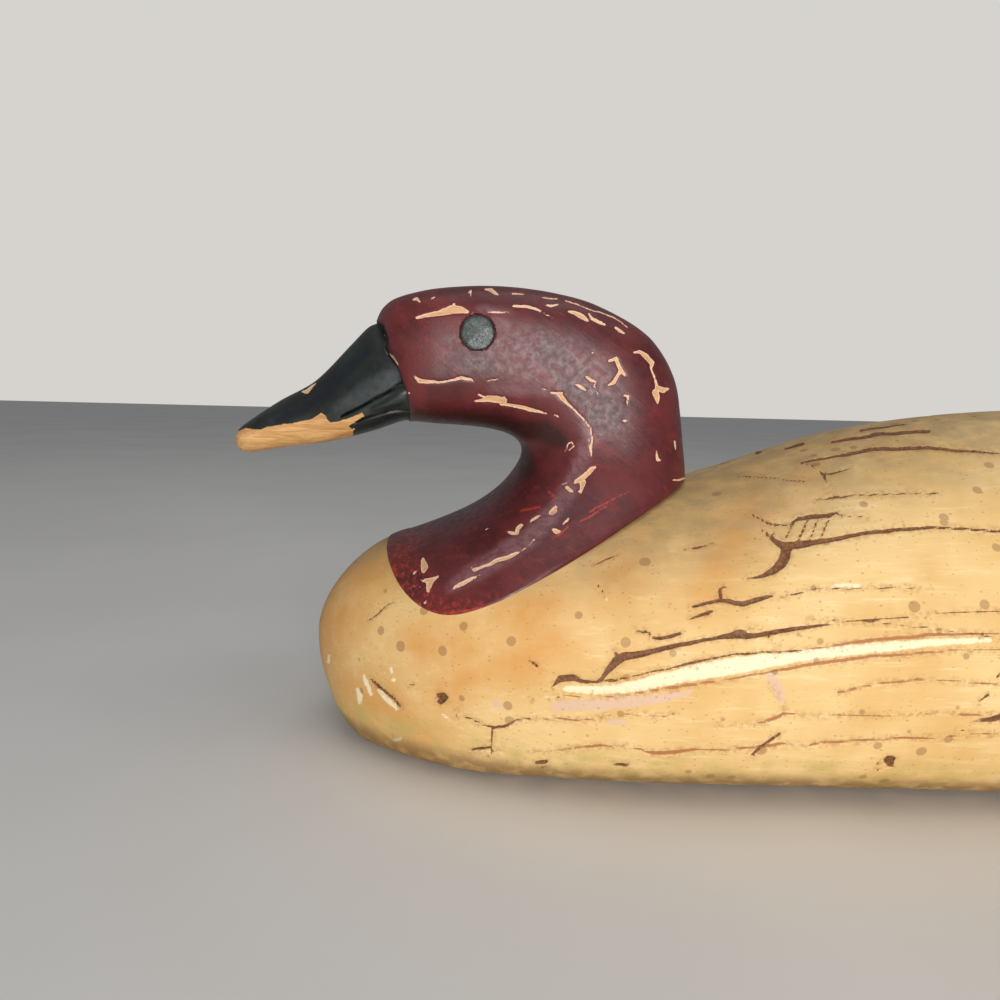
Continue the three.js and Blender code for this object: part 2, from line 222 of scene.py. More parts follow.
# Border of the black bill paint against the head, from the forehead to the throat.
BILL_BORDER: Outline = (
    (375, 322), (380, 326), (383, 333), (386, 339), (383.5, 347), (386.5, 354), (392, 362), (397, 368.5),
    (400, 376), (400, 382), (406.5, 385), (410, 393), (410, 408), (409.6, 423),
)

# Checks, knocks and dark stains along the grain of the body.
BODY_CRACKS: Strokes = (
    ((560, 679, 3.2), (573, 678.5, 3.2), (583, 681.5, 2), (598, 682, 1.3)),
    ((598, 682, 1.2), (604, 676, 2.2), (611, 668, 3.4), (618, 660, 4.6), (625, 656, 4.2), (634, 655, 3.6),
     (645, 653, 3.2), (655, 650.5, 2.6), (668, 647.5, 2.5), (680, 644.5, 2.5), (692, 643, 1.9),
     (704, 640, 1.7), (718, 638.5, 1.8), (728, 636.5, 3), (738, 634.5, 4), (746, 636, 3.4),
     (755, 635.5, 2.4), (768, 633.5, 2.5), (785, 631, 2.3), (800, 628.5, 1.9), (815, 626, 1.2),
     (835, 623.5, 0.8), (875, 619.5, 0.6), (960, 612, 0.5), (1050, 611, 0.3)),
    ((613, 650, 0.7), (618, 656, 1.4)),
    ((733, 629, 0.8), (745, 631, 1.8)),
    ((598, 682, 1.2), (615, 681, 1.6), (629, 677.5, 0.8), (645, 673.5, 0.6), (667, 669, 0.6),
     (680, 665.5, 0.9), (693, 662.5, 1.4), (705, 659.5, 0.8), (722, 656.5, 0.8), (739, 654, 0.9),
     (750, 653, 1), (765, 652.5, 1), (790, 652, 0.9), (805, 650, 0.6)),
    ((733, 645, 0.8), (735, 651, 0.6)),
    ((692, 606, 1), (700, 605, 1.5), (710, 602.5, 1.7), (720, 600, 1.8), (728, 600.5, 2.2), (736, 603, 2.4),
     (745, 604, 2.4), (755, 600.5, 2.4), (765, 597.5, 2), (773, 595.5, 1)),
    ((722, 598, 2), (720, 591, 1.6), (722, 586, 1.4), (727, 586, 0.6)),
    ((778, 597, 0.7), (790, 594.5, 0.9), (800, 592.5, 0.8), (815, 589, 0.6), (828, 587.5, 0.7),
     (845, 589, 0.5), (860, 588.5, 0.5), (875, 588, 0.6), (930, 588, 0.4)),
    ((762, 529, 0.8), (768, 534, 1.4), (775, 540, 2.4), (783, 545.5, 3.8), (792, 545, 3.6), (803, 544, 3.3),
     (815, 542, 2.8), (826, 540.5, 2.5), (838, 538.5, 2), (850, 535.5, 2), (862, 533, 1.8),
     (875, 531.5, 1.8), (930, 527, 1.5), (1010, 531, 1.2), (1080, 542, 0.5)),
    ((786, 548, 4.6), (785, 556, 5.6), (781, 564, 5.2), (775, 570, 3.8), (767, 574, 2.4), (757, 576.5, 1.2),
     (747, 577, 0.6)),
    ((753, 515, 0.8), (760, 518, 1.2), (767, 522, 1.2), (776, 524, 1), (790, 524.5, 0.8), (797, 518, 1.6),
     (806, 517, 2.2), (817, 515.5, 2.4), (827, 515, 2), (834, 513, 1.4), (843, 515.5, 0.8), (858, 516, 0.6),
     (868, 517, 0.4)),
    ((786, 537, 0.9), (791, 528, 0.7), (796, 520, 0.7)),
    ((798, 540, 1), (803, 530, 1.1), (808, 519, 0.9)),
    ((809, 541, 0.8), (814, 529, 0.9), (818, 519, 0.7)),
    ((820, 540, 0.8), (824, 529, 1), (830, 516, 0.8)),
    ((769, 523, 0.8), (774, 533, 0.6)),
    ((801, 463, 0.5), (810, 464, 0.6), (816, 468, 0.7), (823, 474, 1), (826, 482, 0.8), (829, 490, 0.8),
     (833, 496.5, 1.4), (842, 497, 1), (855, 495, 0.8), (875, 494, 0.7), (940, 493, 0.5)),
    ((822, 474, 1), (835, 472, 0.8), (852, 468, 0.4)),
    ((816, 500, 0.5), (826, 498.5, 0.6), (834, 497, 1.2)),
    ((800, 462, 0.6), (815, 459.5, 1), (828, 457.5, 1.2), (840, 455, 1.4), (855, 452, 1.6), (875, 449, 1.7),
     (930, 447, 1.6), (1000, 454, 0.8)),
    ((831, 441.5, 0.9), (845, 439, 1.6), (860, 437, 1.6), (875, 434, 1.7), (930, 431, 1.4)),
    ((859, 430.5, 0.8), (875, 427.5, 1.2), (905, 424, 1)),
    ((785, 448, 1), (803, 443, 1.4)),
    ((738, 476.5, 0.5), (750, 476, 0.5), (765, 476.5, 0.5), (780, 479, 0.5), (790, 480.5, 0.6),
     (804, 481, 0.9)),
    ((688, 620.5, 0.6), (694, 617.5, 1), (700, 615, 1.5), (706, 613.5, 1.8), (712, 611.5, 1.4)),
    ((634, 630, 0.6), (642, 632, 1.2), (648, 631.5, 1.2), (652, 637, 1.2), (660, 638, 1.6), (670, 636, 1.6),
     (680, 633, 1.3)),
    ((594, 564.5, 0.5), (606, 559.5, 0.7), (618, 554.5, 0.5)),
    ((692, 548, 0.8), (697, 546.5, 1.2), (704, 545.5, 0.7), (714, 542, 0.4)),
    ((598, 584, 0.8), (600, 588, 1), (603, 591, 0.8)),
    ((530, 661, 1.2), (535, 665, 1.4), (541, 670.5, 0.7)),
    ((530, 702, 0.4), (541, 697, 0.8), (552, 698.5, 0.6), (565, 696, 0.6)),
    ((550, 690, 0.7), (556, 683, 1.5), (562, 679, 2.2)),
    ((466, 718, 0.8), (473, 720, 1.1), (479, 723.5, 1.1), (487, 725.5, 1.2), (495, 727.5, 1.4),
     (503, 727, 1.5), (511, 724, 1.3), (517, 720, 0.9), (527, 718.5, 0.7), (542, 719, 0.6)),
    ((491, 728, 0.9), (491.5, 737, 1.1), (491, 745, 0.8), (491, 754, 0.6)),
    ((471, 750.5, 0.9), (480, 749, 1.6), (488, 748, 1.2)),
    ((495, 752, 0.5), (503, 750, 0.8)),
    ((369, 619.5, 0.4), (375, 616, 0.5), (380, 612, 0.7), (385, 605, 0.6), (391, 603, 0.4),
     (399, 602, 0.4)),
    ((409, 685, 0.8), (414, 686, 1.1)),
    ((458, 707, 0.8), (456, 716, 0.9)),
    ((537, 763, 1.8), (546, 762, 2)),
    ((540, 769, 0.8), (546, 767, 0.8)),
    ((371, 680, 1.2), (378, 686, 1.5), (386, 692, 1.5), (393, 698, 1.4), (399, 706, 1.2)),
    ((438, 696, 2), (443, 696, 3.2), (445, 697.5, 3.2), (441, 701, 3.4), (439, 702, 2)),
    ((613, 765, 0.8), (622, 765.5, 1.8), (629, 766, 0.8)),
)

# Fine checks whose edges have gone red-brown.
BODY_RUST: Strokes = (
    ((560, 696, 0.7), (580, 696.5, 0.7), (611, 697, 0.8), (625, 695.5, 0.8), (644, 692, 1),
     (660, 689.5, 1.2), (675, 687.5, 1.6), (693, 684.5, 1.6), (708, 682.5, 1.4), (723, 681, 1),
     (740, 677.5, 0.9), (755, 674.5, 0.9), (769, 672.5, 1), (790, 668.5, 1.3), (810, 665, 1.4),
     (830, 662, 1.6), (850, 659.5, 1.6), (875, 656.5, 1.4), (950, 651, 1), (1040, 648, 0.4)),
    ((805, 650, 0.6), (830, 646.5, 1), (845, 644, 1.3), (860, 641.5, 1.6), (875, 640, 1.7), (930, 635, 1.6),
     (1000, 634, 0.8)),
    ((542, 719, 0.6), (560, 719.5, 1), (578, 720.5, 1), (598, 718, 0.8), (612, 715, 0.8), (634, 714, 0.8),
     (650, 715.5, 0.9), (665, 716, 1.2), (676, 714, 0.7)),
    ((530, 751, 0.5), (545, 751.5, 0.5), (560, 750.5, 0.6), (578, 748, 0.9), (590, 746, 1.4),
     (601, 745, 1.2), (612, 746, 1), (627, 747, 0.9), (640, 750.5, 1.2), (650, 753, 1.6), (662, 753.5, 2),
     (675, 752.5, 2), (690, 751, 1.4), (700, 749.5, 1), (722, 750, 0.9), (739, 749, 0.9), (750, 747.5, 1.2),
     (765, 746, 1.7), (778, 745, 1.7), (790, 745.5, 1), (805, 746, 1), (820, 743.5, 1.4), (835, 743, 1.6),
     (850, 741.5, 1.2), (875, 740, 1.3), (950, 737, 1), (1060, 728, 0.6)),
    ((718, 724, 0.4), (740, 724.5, 0.5), (756, 724, 0.8), (768, 721, 1.6), (779, 717.5, 1.8),
     (785, 713.5, 1.6), (795, 714.5, 0.9), (815, 716, 0.6), (843, 715.5, 0.6), (875, 716.5, 0.6),
     (940, 714, 0.4)),
    ((769, 684, 0.4), (776, 691, 0.4), (782, 700, 0.4), (785, 710, 0.6)),
    ((838, 692.5, 1), (850, 690.5, 1.5), (862, 687, 1), (875, 684.5, 1), (930, 679, 0.8)),
)

# Cream ground laid bare where the top coat has split off, and fresh white knocks.
BODY_PALE: Strokes = (
    ((566, 689, 3), (590, 690, 4), (611, 690, 4.5), (629, 687, 5.5), (650, 683, 6.5), (667, 679, 7),
     (693, 673, 8), (720, 668, 9), (740, 665, 8.5), (765, 661, 7.5), (790, 658, 6), (820, 654, 5.5),
     (850, 650, 5.5), (875, 648, 5.5), (930, 643, 4), (990, 640, 2)),
    ((363, 676, 1.2), (367, 684, 2.6), (371, 694, 1.6)),
    ((379, 690, 2.2), (385, 697, 2.6), (391, 703, 2.4), (397, 709, 1.8)),
    ((328, 656, 1), (328, 663, 1)),
    ((391, 669.5, 2), (392, 673, 1.2)),
    ((393, 680, 2.2),),
    ((358, 690, 2), (360, 697, 2.4), (360, 703, 1.6)),
    ((394, 740, 1.6), (400, 739, 1.6)),
    ((604, 595, 0.8), (607, 599, 0.9)),
    ((442, 714, 1), (449, 719, 1.2)),
    ((832, 585.5, 1.4), (845, 585.5, 2.4), (860, 585, 1.6)),
)

# Pinkish remains of an older coat.
BODY_PINK: Strokes = (
    ((556, 706, 5), (590, 705, 6), (620, 703, 6), (640, 701, 6), (665, 698, 4.5), (692, 692, 2)),
    ((770, 676, 4), (778, 688, 5), (783, 700, 3)),
    ((610, 722, 3), (625, 724, 3)),
    ((494, 703, 3), (500, 707, 3)),
)

# Parts of the breast and shoulder where the varnish has turned orange.
BODY_WARM: Strokes = (
    ((330, 640, 12), (345, 600, 14), (375, 560, 12)),
    ((420, 650, 14), (470, 640, 18), (530, 615, 16), (590, 590, 12), (640, 560, 9)),
    ((440, 690, 8), (520, 660, 12), (560, 640, 10)),
    ((690, 595, 10), (760, 500, 9), (800, 480, 6)),
    ((360, 690, 8), (410, 730, 9)),
)


class Side(Enum):
    """Side of the decoy, by the sign of Y."""

    NEAR = -1
    FAR = 1


def superellipse(share: np.ndarray, power: float | np.ndarray) -> np.ndarray:
    """Quarter of a superellipse: (1 - share^power)^(1/power), and 1 below a share of 0.

    Args:
        share: Way along the quarter, from 0 to 1.
        power: 2 for an ellipse, more for a squarer corner.

    Returns:
        Heights from 1 down to 0.
    """
    kept = np.clip(share, 0.0, 1.0)
    return np.maximum(0.0, 1.0 - kept**power) ** (1.0 / power)


def ease(value: np.ndarray, low: float, high: float) -> np.ndarray:
    """Smooth step, 3t^2 - 2t^3, from 0 at low to 1 at high."""
    t = np.clip((value - low) / (high - low), 0.0, 1.0)
    return t * t * (3.0 - 2.0 * t)


def spline(rows: np.ndarray, share: np.ndarray) -> np.ndarray:
    """Uniform Catmull-Rom curve through rows, with the end rows doubled.

    Between two rows the curve is the cubic that meets both, with half the chord between each
    row's neighbours as its slope there.

    Args:
        rows: Control rows, one per knot.
        share: Places along the curve, from 0 to 1.

    Returns:
        One row per place.
    """
    last = len(rows) - 1
    along = np.asarray(share) * last
    knot = np.clip(np.floor(along).astype(int), 0, last - 1)
    w = (along - knot)[:, None]
    before, start = rows[np.maximum(knot - 1, 0)], rows[knot]
    end, after = rows[knot + 1], rows[np.minimum(knot + 2, last)]
    leave, arrive = (end - before) / 2, (after - start) / 2
    cubic = 2 * start - 2 * end + leave + arrive
    square = 3 * end - 3 * start - 2 * leave - arrive
    return ((cubic * w + square) * w + leave) * w + start


def lattice_noise(points: np.ndarray, size: float, seed: int) -> np.ndarray:
    """Smooth noise from -1 to 1.

    Every corner of a lattice of cubes gets a number from a hashed sine, and a point takes the
    numbers of the eight corners round it, weighed by 3t^2 - 2t^3 along each axis.

    Args:
        points: Rows of x, y, z in mm.
        size: Edge of one cube in mm.
        seed: Picks another pattern.

    Returns:
        One number per point.
    """
    scaled = points / size
    cell = np.floor(scaled)
    w = scaled - cell
    w = w * w * (3.0 - 2.0 * w)
    total = np.zeros(len(points))
    for corner in itertools.product((0, 1), repeat=3):
        near = np.array(corner)
        hashed = np.sin((cell + near) @ np.array([127.1, 311.7, 74.7]) + 19.19 * seed) * 43758.5453
        weight = np.prod(np.where(near, w, 1.0 - w), axis=1)
        total += weight * (2.0 * (hashed - np.floor(hashed)) - 1.0)
    return total


def inside_strokes(places: np.ndarray, strokes: Strokes) -> np.ndarray:
    """How far places lie inside the nearest stroke, in mm, negative outside.

    For each segment this is the half-width at the segment's nearest point less the distance to
    that point, and the largest value over all segments counts.

    Args:
        places: Rows of x, z on the drawing.
        strokes: Chains of x, z, half-width.

    Returns:
        One number per place.
    """
    deepest = np.full(len(places), -99.0)
    for stroke in strokes:
        chain = np.array(stroke if len(stroke) > 1 else stroke * 2)
        for start, end in zip(chain[:-1], chain[1:]):
            step = end[:2] - start[:2]
            share = np.clip((places - start[:2]) @ step / max(step @ step, 1e-9), 0.0, 1.0)
            gap = np.linalg.norm(places - start[:2] - share[:, None] * step, axis=1)
            deepest = np.maximum(deepest, start[2] + share * (end[2] - start[2]) - gap)
    return deepest


def inside_outline(places: np.ndarray, outline: Outline) -> np.ndarray:
    """How far places lie inside a closed outline, in mm, negative outside.

    The size is the distance to the nearest edge. The sign comes from counting how often a line
    drawn along +X from the place crosses the outline.

    Args:
        places: Rows of x, z on the drawing.
        outline: Corners in order.

    Returns:
        One number per place.
    """
    corners = np.array(outline)
    nearest = np.full(len(places), 99.0)
    within = np.zeros(len(places), dtype=bool)
    for start, end in zip(corners, np.roll(corners, -1, axis=0)):
        step = end - start
        share = np.clip((places - start) @ step / (step @ step), 0.0, 1.0)
        nearest = np.minimum(nearest, np.linalg.norm(places - start - share[:, None] * step, axis=1))
        spans = (start[1] > places[:, 1]) != (end[1] > places[:, 1])
        rise = np.where(spans, end[1] - start[1], 1.0)
        crossing = start[0] + (places[:, 1] - start[1]) * step[0] / np.where(rise == 0.0, 1.0, rise)
        within ^= spans & (places[:, 0] < crossing)
    return np.where(within, nearest, -nearest)


@dataclass(frozen=True)
class Sighting:
    """Point that the near side is seen from, and how the photograph lies from there.

    A line from this point to a point of the skin cuts the middle plane where the drawing shows
    that point. The far side uses the mirrored point. x, reach and z are its place in mm, pitch
    and roll are in degrees, and focus and picture, its focal length and width, are in pixels.
    """

    x: float = -114.5
    reach: float = 295.5
    z: float = 126.0
    pitch: float = 7.56
    roll: float = 1.38
    focus: float = 780.0
    picture: float = 1000.0

    def drawn(self, pixels: np.ndarray) -> np.ndarray:
        """Where pixels of the photograph fall on the middle plane.

        The offsets from the picture's middle, turned back by the roll and divided by the focal
        length, are u across and v down. The line of sight runs t = reach / (cos(pitch) -
        v sin(pitch)) deep, to t u across and t (sin(pitch) + v cos(pitch)) below its start.

        Args:
            pixels: Rows of x, y in the photograph.

        Returns:
            Rows of x, z in mm.
        """
        roll, pitch = math.radians(self.roll), math.radians(self.pitch)
        across, down = (pixels - self.picture / 2).T / self.focus
        u = across * math.cos(roll) + down * math.sin(roll)
        v = down * math.cos(roll) - across * math.sin(roll)
        t = self.reach / (math.cos(pitch) - v * math.sin(pitch))
        return np.stack([self.x + t * u, self.z - t * (math.sin(pitch) + v * math.cos(pitch))], axis=1)

    def strokes(self, drawing: Strokes) -> Strokes:
        """Strokes of the photograph in mm, their half-widths by the length of one pixel across."""
        made = []
        for stroke in drawing:
            pixels = np.array(stroke)
            spots = self.drawn(pixels[:, :2])
            pixel = np.linalg.norm(self.drawn(pixels[:, :2] + np.array([1.0, 0.0])) - spots, axis=1)
            made.append(tuple(map(tuple, np.column_stack([spots, pixels[:, 2] * pixel]).tolist())))
        return tuple(made)

    def places(self, points: np.ndarray) -> np.ndarray:
        """Where points of the skin stand on the drawing.

        The offsets from the sighting point in X and Z are scaled by reach / (reach - |y|).

        Args:
            points: Rows of x, y, z in mm.

        Returns:
            Rows of x, z in mm.
        """
        scale = self.reach / (self.reach - np.abs(points[:, 1]))
        return np.stack(
            [self.x + (points[:, 0] - self.x) * scale, self.z + (points[:, 2] - self.z) * scale], axis=1
        )


SIGHTING = Sighting()


@dataclass
class Skin:
    """Closed surface made of rings of equal length, drawn in to a point at both ends.

    rings has the shape (rings, points, 3), first and last are the end points, all in mm. Going
    round a ring is going up the near side and down the far side, and the rings run from the
    bill or breast to the skirt or tail, so that the faces point outward.
    """

    rings: np.ndarray
    first: np.ndarray
    last: np.ndarray

    def normals(self) -> np.ndarray:
        """Outward normals of the ring points: across the rings times round the ring."""
        round_ring = np.roll(self.rings, -1, axis=1) - np.roll(self.rings, 1, axis=1)
        across = np.gradient(self.rings, axis=0)
        normal = np.cross(across, round_ring)
        return normal / np.maximum(np.linalg.norm(normal, axis=2, keepdims=True), 1e-9)

    def points(self) -> np.ndarray:
        """All points as rows: the first end, the rings one after another, the last end."""
        return np.vstack([self.first, self.rings.reshape(-1, 3), self.last])

    def faces(self) -> list[tuple[int, ...]]:
        """Quads between the rings and triangles at the ends, as point numbers."""
        rows, columns = self.rings.shape[:2]
        column = np.arange(columns)
        following = (column + 1) % columns
        start = 1 + np.arange(rows - 1)[:, None] * columns
        corners = [start + column, start + columns + column, start + columns + following, start + following]
        quads = np.stack(corners, axis=2).reshape(-1, 4)
        end = 1 + (rows - 1) * columns
        head = np.stack([np.zeros_like(column), 1 + column, 1 + following], axis=1)
        tail = np.stack([end + column, np.full_like(column, end + columns), end + following], axis=1)
        return [*map(tuple, head.tolist()), *map(tuple, quads.tolist()), *map(tuple, tail.tolist())]


def put_mesh(name: str, skin: Skin, layers: dict[str, np.ndarray], crease: float = 50.0) -> bpy.types.Object:
    """Make an object at the origin from a skin.

    Args:
        name: Name of the object and its mesh.
        skin: The surface in mm.
        layers: Numbers for every ring point, by the name of the attribute that will hold them.
        crease: Angle in degrees past which an edge is drawn sharp.

    Returns:
        The linked object, in metres.
    """
    mesh = bpy.data.meshes.new(name)
    points = skin.points() * MM
    low, high = (np.array(corner) for corner in CAD_BOX)
    mesh.from_pydata(np.clip(points, low, high).tolist(), [], skin.faces())
    for title, values in layers.items():
        flat = values.reshape(-1)
        padded = np.concatenate([[flat[0]], flat, [flat[-1]]])
        layer = mesh.attributes.new(title, "FLOAT", "POINT")
        layer.data.foreach_set("value", padded.astype(np.float32))
    mesh.shade_smooth()
    mesh.set_sharp_from_angle(angle=math.radians(crease))
    mesh.validate()
    made = bpy.data.objects.new(name, mesh)
    bpy.context.scene.collection.objects.link(made)
    return made


def even_ring(curve: np.ndarray, count: int, pull: float = 1.0) -> np.ndarray:
    """Spread points evenly along curves by their length.

    Args:
        curve: Dense curves, of shape (curves, points, 3).
        count: Number of points to keep on each, both ends included.
        pull: Power on the share of the length; above 1 it crowds points toward the start.

    Returns:
        Array of shape (curves, count, 3).
    """
    steps = np.linalg.norm(np.diff(curve, axis=1), axis=2)
    length = np.concatenate([np.zeros((len(curve), 1)), np.cumsum(steps, axis=1)], axis=1)
    goal = np.linspace(0.0, 1.0, count) ** pull
    rows = [
        [np.interp(goal * run[-1], run, line[:, axis]) for axis in range(3)]
        for run, line in zip(length, curve)
    ]
    return np.array(rows).transpose(0, 2, 1)


@dataclass
class BodyBlock:
    """The carved body, from its breast to its tail.

    Every cross-section is an upper quarter of an ellipse over a lower quarter that is a little
    squarer and ends on the flat underside. Widths and heights along X are superellipses at both
    ends, and the back follows a spline.
    """

    length: float = 397.3
    tail_x: float = 213.8
    half_width: float = 74.5
    flat_half: float = 40.5
    breast_z: float = 36.0
    girth_z: float = 45.0
    tail_z: float = 68.0
    lower_power: float = 0.9
    stations: int = 350
    near_low: int = 58
    near_high: int = 138
    far_low: int = 22
    far_high: int = 46
    back: Outline = (
        (-200, 69), (-157, 72.6), (-139, 76.4), (-114.5, 82), (-94, 86.2), (-74, 91.2), (-58, 95),
        (-45, 97.2), (-27, 103), (-8, 110), (12, 116.2), (34, 120.8), (60, 124.2), (82, 125.4),
        (110, 123.4), (140, 116), (170, 104.5), (196, 93), (220, 82),
    )

    @property
    def breast_x(self) -> float:
        """Foremost point along X."""
        return self.tail_x - self.length

    def _back_height(self, x: np.ndarray) -> np.ndarray:
        """Height of the back line at x."""
        line = spline(np.array(self.back, dtype=float), np.linspace(0.0, 1.0, 6001))
        return np.interp(x, line[:, 0], line[:, 1])

    def _fore(self, x: np.ndarray, run: float, power: float, start: float = 0.0) -> np.ndarray:
        """Share left of a size at x, rounded off toward the breast."""
        return superellipse((self.breast_x + start + run - x) / run, power)

    def _aft(self, x: np.ndarray, run: float, power: float, start: float = 0.0) -> np.ndarray:
        """Share left of a size at x, rounded off toward the tail."""
        return superellipse((x - self.tail_x + start + run) / run, power)

    def section(self, x: np.ndarray) -> tuple[np.ndarray, ...]:
        """Sizes of the cross-sections at x.

        Args:
            x: Places along the body in mm.

        Returns:
            Half-width, half-width of the flat underside, level of the girth, top and bottom.
        """
        half = self.half_width * self._fore(x, 128, 1.85) * self._aft(x, 140, 1.7)
        level = self.breast_z + (self.girth_z - self.breast_z) * ease(x, self.breast_x, self.breast_x + 70)
        girth = level + (self.tail_z - level) * ease(x, 40, self.tail_x)
        pole = np.where(x < 0, self.breast_z, self.tail_z)
        top = pole + (self._back_height(x) - pole) * self._fore(x, 33, 1.72) * self._aft(x, 13, 2)
        bottom = pole * (1 - self._fore(x, 24, 2) * self._aft(x, 86, 2))
        strip = self.flat_half * self._fore(x, 59, 1.35, 6) * self._aft(x, 108, 1.4, 2)
        flat = np.minimum(0.9 * half, strip + 0.05 * half)
        return half, flat, girth, top, bottom

    def dome(self, x: np.ndarray, y: np.ndarray) -> np.ndarray:
        """Height of the upper surface at x, y."""
        shape = np.shape(x)
        half, _, girth, top, _ = (size.reshape(shape) for size in self.section(np.ravel(x)))
        return girth + (top - girth) * superellipse(np.abs(y) / np.maximum(half, 1e-6), 2)

    def _station_places(self) -> np.ndarray:
        """Stations along X, evenly spread over the surface's run and closer on the breast side.

        The run is the length of the line of greatest width plus that of the back, and the part
        behind the shoulder counts for less.
        """
        fine = (1 - np.cos(np.linspace(0, math.pi, 8001))) / 2
        x = self.breast_x + self.length * fine
        half, _, _, top, _ = self.section(x)
        step = np.hypot(np.diff(x), np.diff(half)) + 0.5 * np.abs(np.diff(top))
        step = step * (1.0 - 0.55 * ease(x[1:], 85, 125))
        run = np.concatenate([[0.0], np.cumsum(step)])
        return np.interp(np.linspace(0, run[-1], self.stations + 2)[1:-1], run, x)

    def _quarters(self, x: np.ndarray, low: int, high: int) -> np.ndarray:
        """Half-rings from the underside's edge to the back, with the y distances positive."""
        half, flat, girth, top, bottom = (size[:, None] for size in self.section(x))
        a = np.linspace(0, math.pi / 2, 400)[None, :]
        y = flat + (half - flat) * np.sin(a) ** self.lower_power
        z = girth - (girth - bottom) * np.cos(a) ** self.lower_power
        lower = even_ring(np.stack([np.broadcast_to(x[:, None], y.shape), y, z], axis=2), low + 1)
        b = math.pi / 2 * np.linspace(0, 1, high + 1)[None, :] ** 1.08
        y, z = half * np.cos(b), girth + (top - girth) * np.sin(b)
        upper = np.stack([np.broadcast_to(x[:, None], y.shape), y, z], axis=2)
        return np.concatenate([lower[:, :-1], upper], axis=1)

    def skin(self) -> Skin:
        """The body's surface before any marks are cut into it."""
        x = self._station_places()
        near = self._quarters(x, self.near_low, self.near_high) * np.array([1, -1, 1])
        far = self._quarters(x, self.far_low, self.far_high)[:, :-1][:, ::-1]
        rings = np.concatenate([near, far], axis=1)
        first = np.array([self.breast_x, 0, self.breast_z])
        return Skin(rings, first, np.array([self.tail_x, 0, self.tail_z]))


@dataclass(frozen=True)
class Station:
    """One cross-section of the head.

    low and high are its x, z in the middle plane, half its half-width as a share of the piece's,
    widest the share of the way up where it is widest, square its powers below and above that,
    and sink the share of the way that it has settled onto the body.
    """

    low: tuple[float, float]
    high: tuple[float, float]
    half: float
    widest: float
    square: tuple[float, float]
    sink: float = 0.0

    def row(self, width: float) -> list[float]:
        """All numbers in one row, the half-width in mm."""
        return [*self.low, *self.high, self.half * width / 2, self.widest, *self.square, self.sink]


BILL_STATIONS = (
    Station((-213.1, 105), (-213.8, 110.2), 0.3, 0.6, (3, 2)),
    Station((-211.9, 103.7), (-211.9, 112.7), 0.53, 0.58, (3, 2)),
    Station((-207.9, 103), (-208.2, 115.6), 0.68, 0.52, (3, 1.9)),
    Station((-195.9, 105.1), (-198.1, 122.5), 0.74, 0.42, (3, 1.8)),
    Station((-179, 107.7), (-184.5, 130.4), 0.78, 0.36, (3, 1.8)),
    Station((-163.9, 111.6), (-171.8, 143.1), 0.88, 0.32, (2.8, 1.9)),
    Station((-152.9, 115.6), (-165.2, 149.9), 0.97, 0.32, (2.6, 2)),
    Station((-149.3, 116.3), (-161.8, 151.7), 1, 0.32, (2.6, 2)),
)

NECK_STATIONS = (
    Station((-149.1, 115.8), (-160.4, 153.6), 0.66, 0.42, (2.6, 2.6)),
    Station((-146.9, 115.9), (-158, 157.6), 0.82, 0.44, (2.5, 2.8)),
    Station((-143.9, 115.8), (-152.6, 160.7), 0.93, 0.46, (2.5, 3.3)),
    Station((-137.8, 115.3), (-141.1, 163.4), 0.99, 0.48, (2.5, 3.8)),
    Station((-130.3, 115), (-128.2, 164.8), 1, 0.5, (2.5, 4)),
    Station((-122.7, 114.4), (-114.6, 165), 1, 0.5, (2.5, 4)),
    Station((-116.3, 113.4), (-99.7, 163.6), 1, 0.5, (2.5, 4)),
    Station((-112.1, 112.1), (-84.8, 160.4), 1, 0.5, (2.4, 3.8)),
    Station((-109, 110.2), (-71.7, 154.8), 1, 0.49, (2.3, 3.6)),
    Station((-107.3, 107.9), (-62.3, 148.8), 1, 0.48, (2.2, 3.4)),
    Station((-107, 105.2), (-55.7, 141), 1, 0.47, (2.1, 3.2)),
    Station((-108, 102.2), (-51.1, 132.2), 1.01, 0.46, (2, 3), 0.01),
    Station((-110.3, 98.8), (-48.9, 122.5), 1.05, 0.45, (2, 2.8), 0.04),
    Station((-114.1, 95), (-47.4, 113.2), 1.14, 0.43, (2, 2.6), 0.12),
    Station((-120, 90.6), (-46.2, 106.2), 1.3, 0.41, (2, 2.4), 0.25),
    Station((-128.3, 85.9), (-45.6, 102.4), 1.53, 0.38, (2, 2.2), 0.45),
    Station((-139.3, 80.8), (-45.3, 100.2), 1.8, 0.37, (2, 2), 0.68),
    Station((-148.8, 76.4), (-45.1, 98.8), 2.04, 0.375, (2.1, 1.8), 0.87),
    Station((-156.5, 73), (-45, 97.8), 114 / 52.6, 0.38, (2.2, 1.6), 1),
)


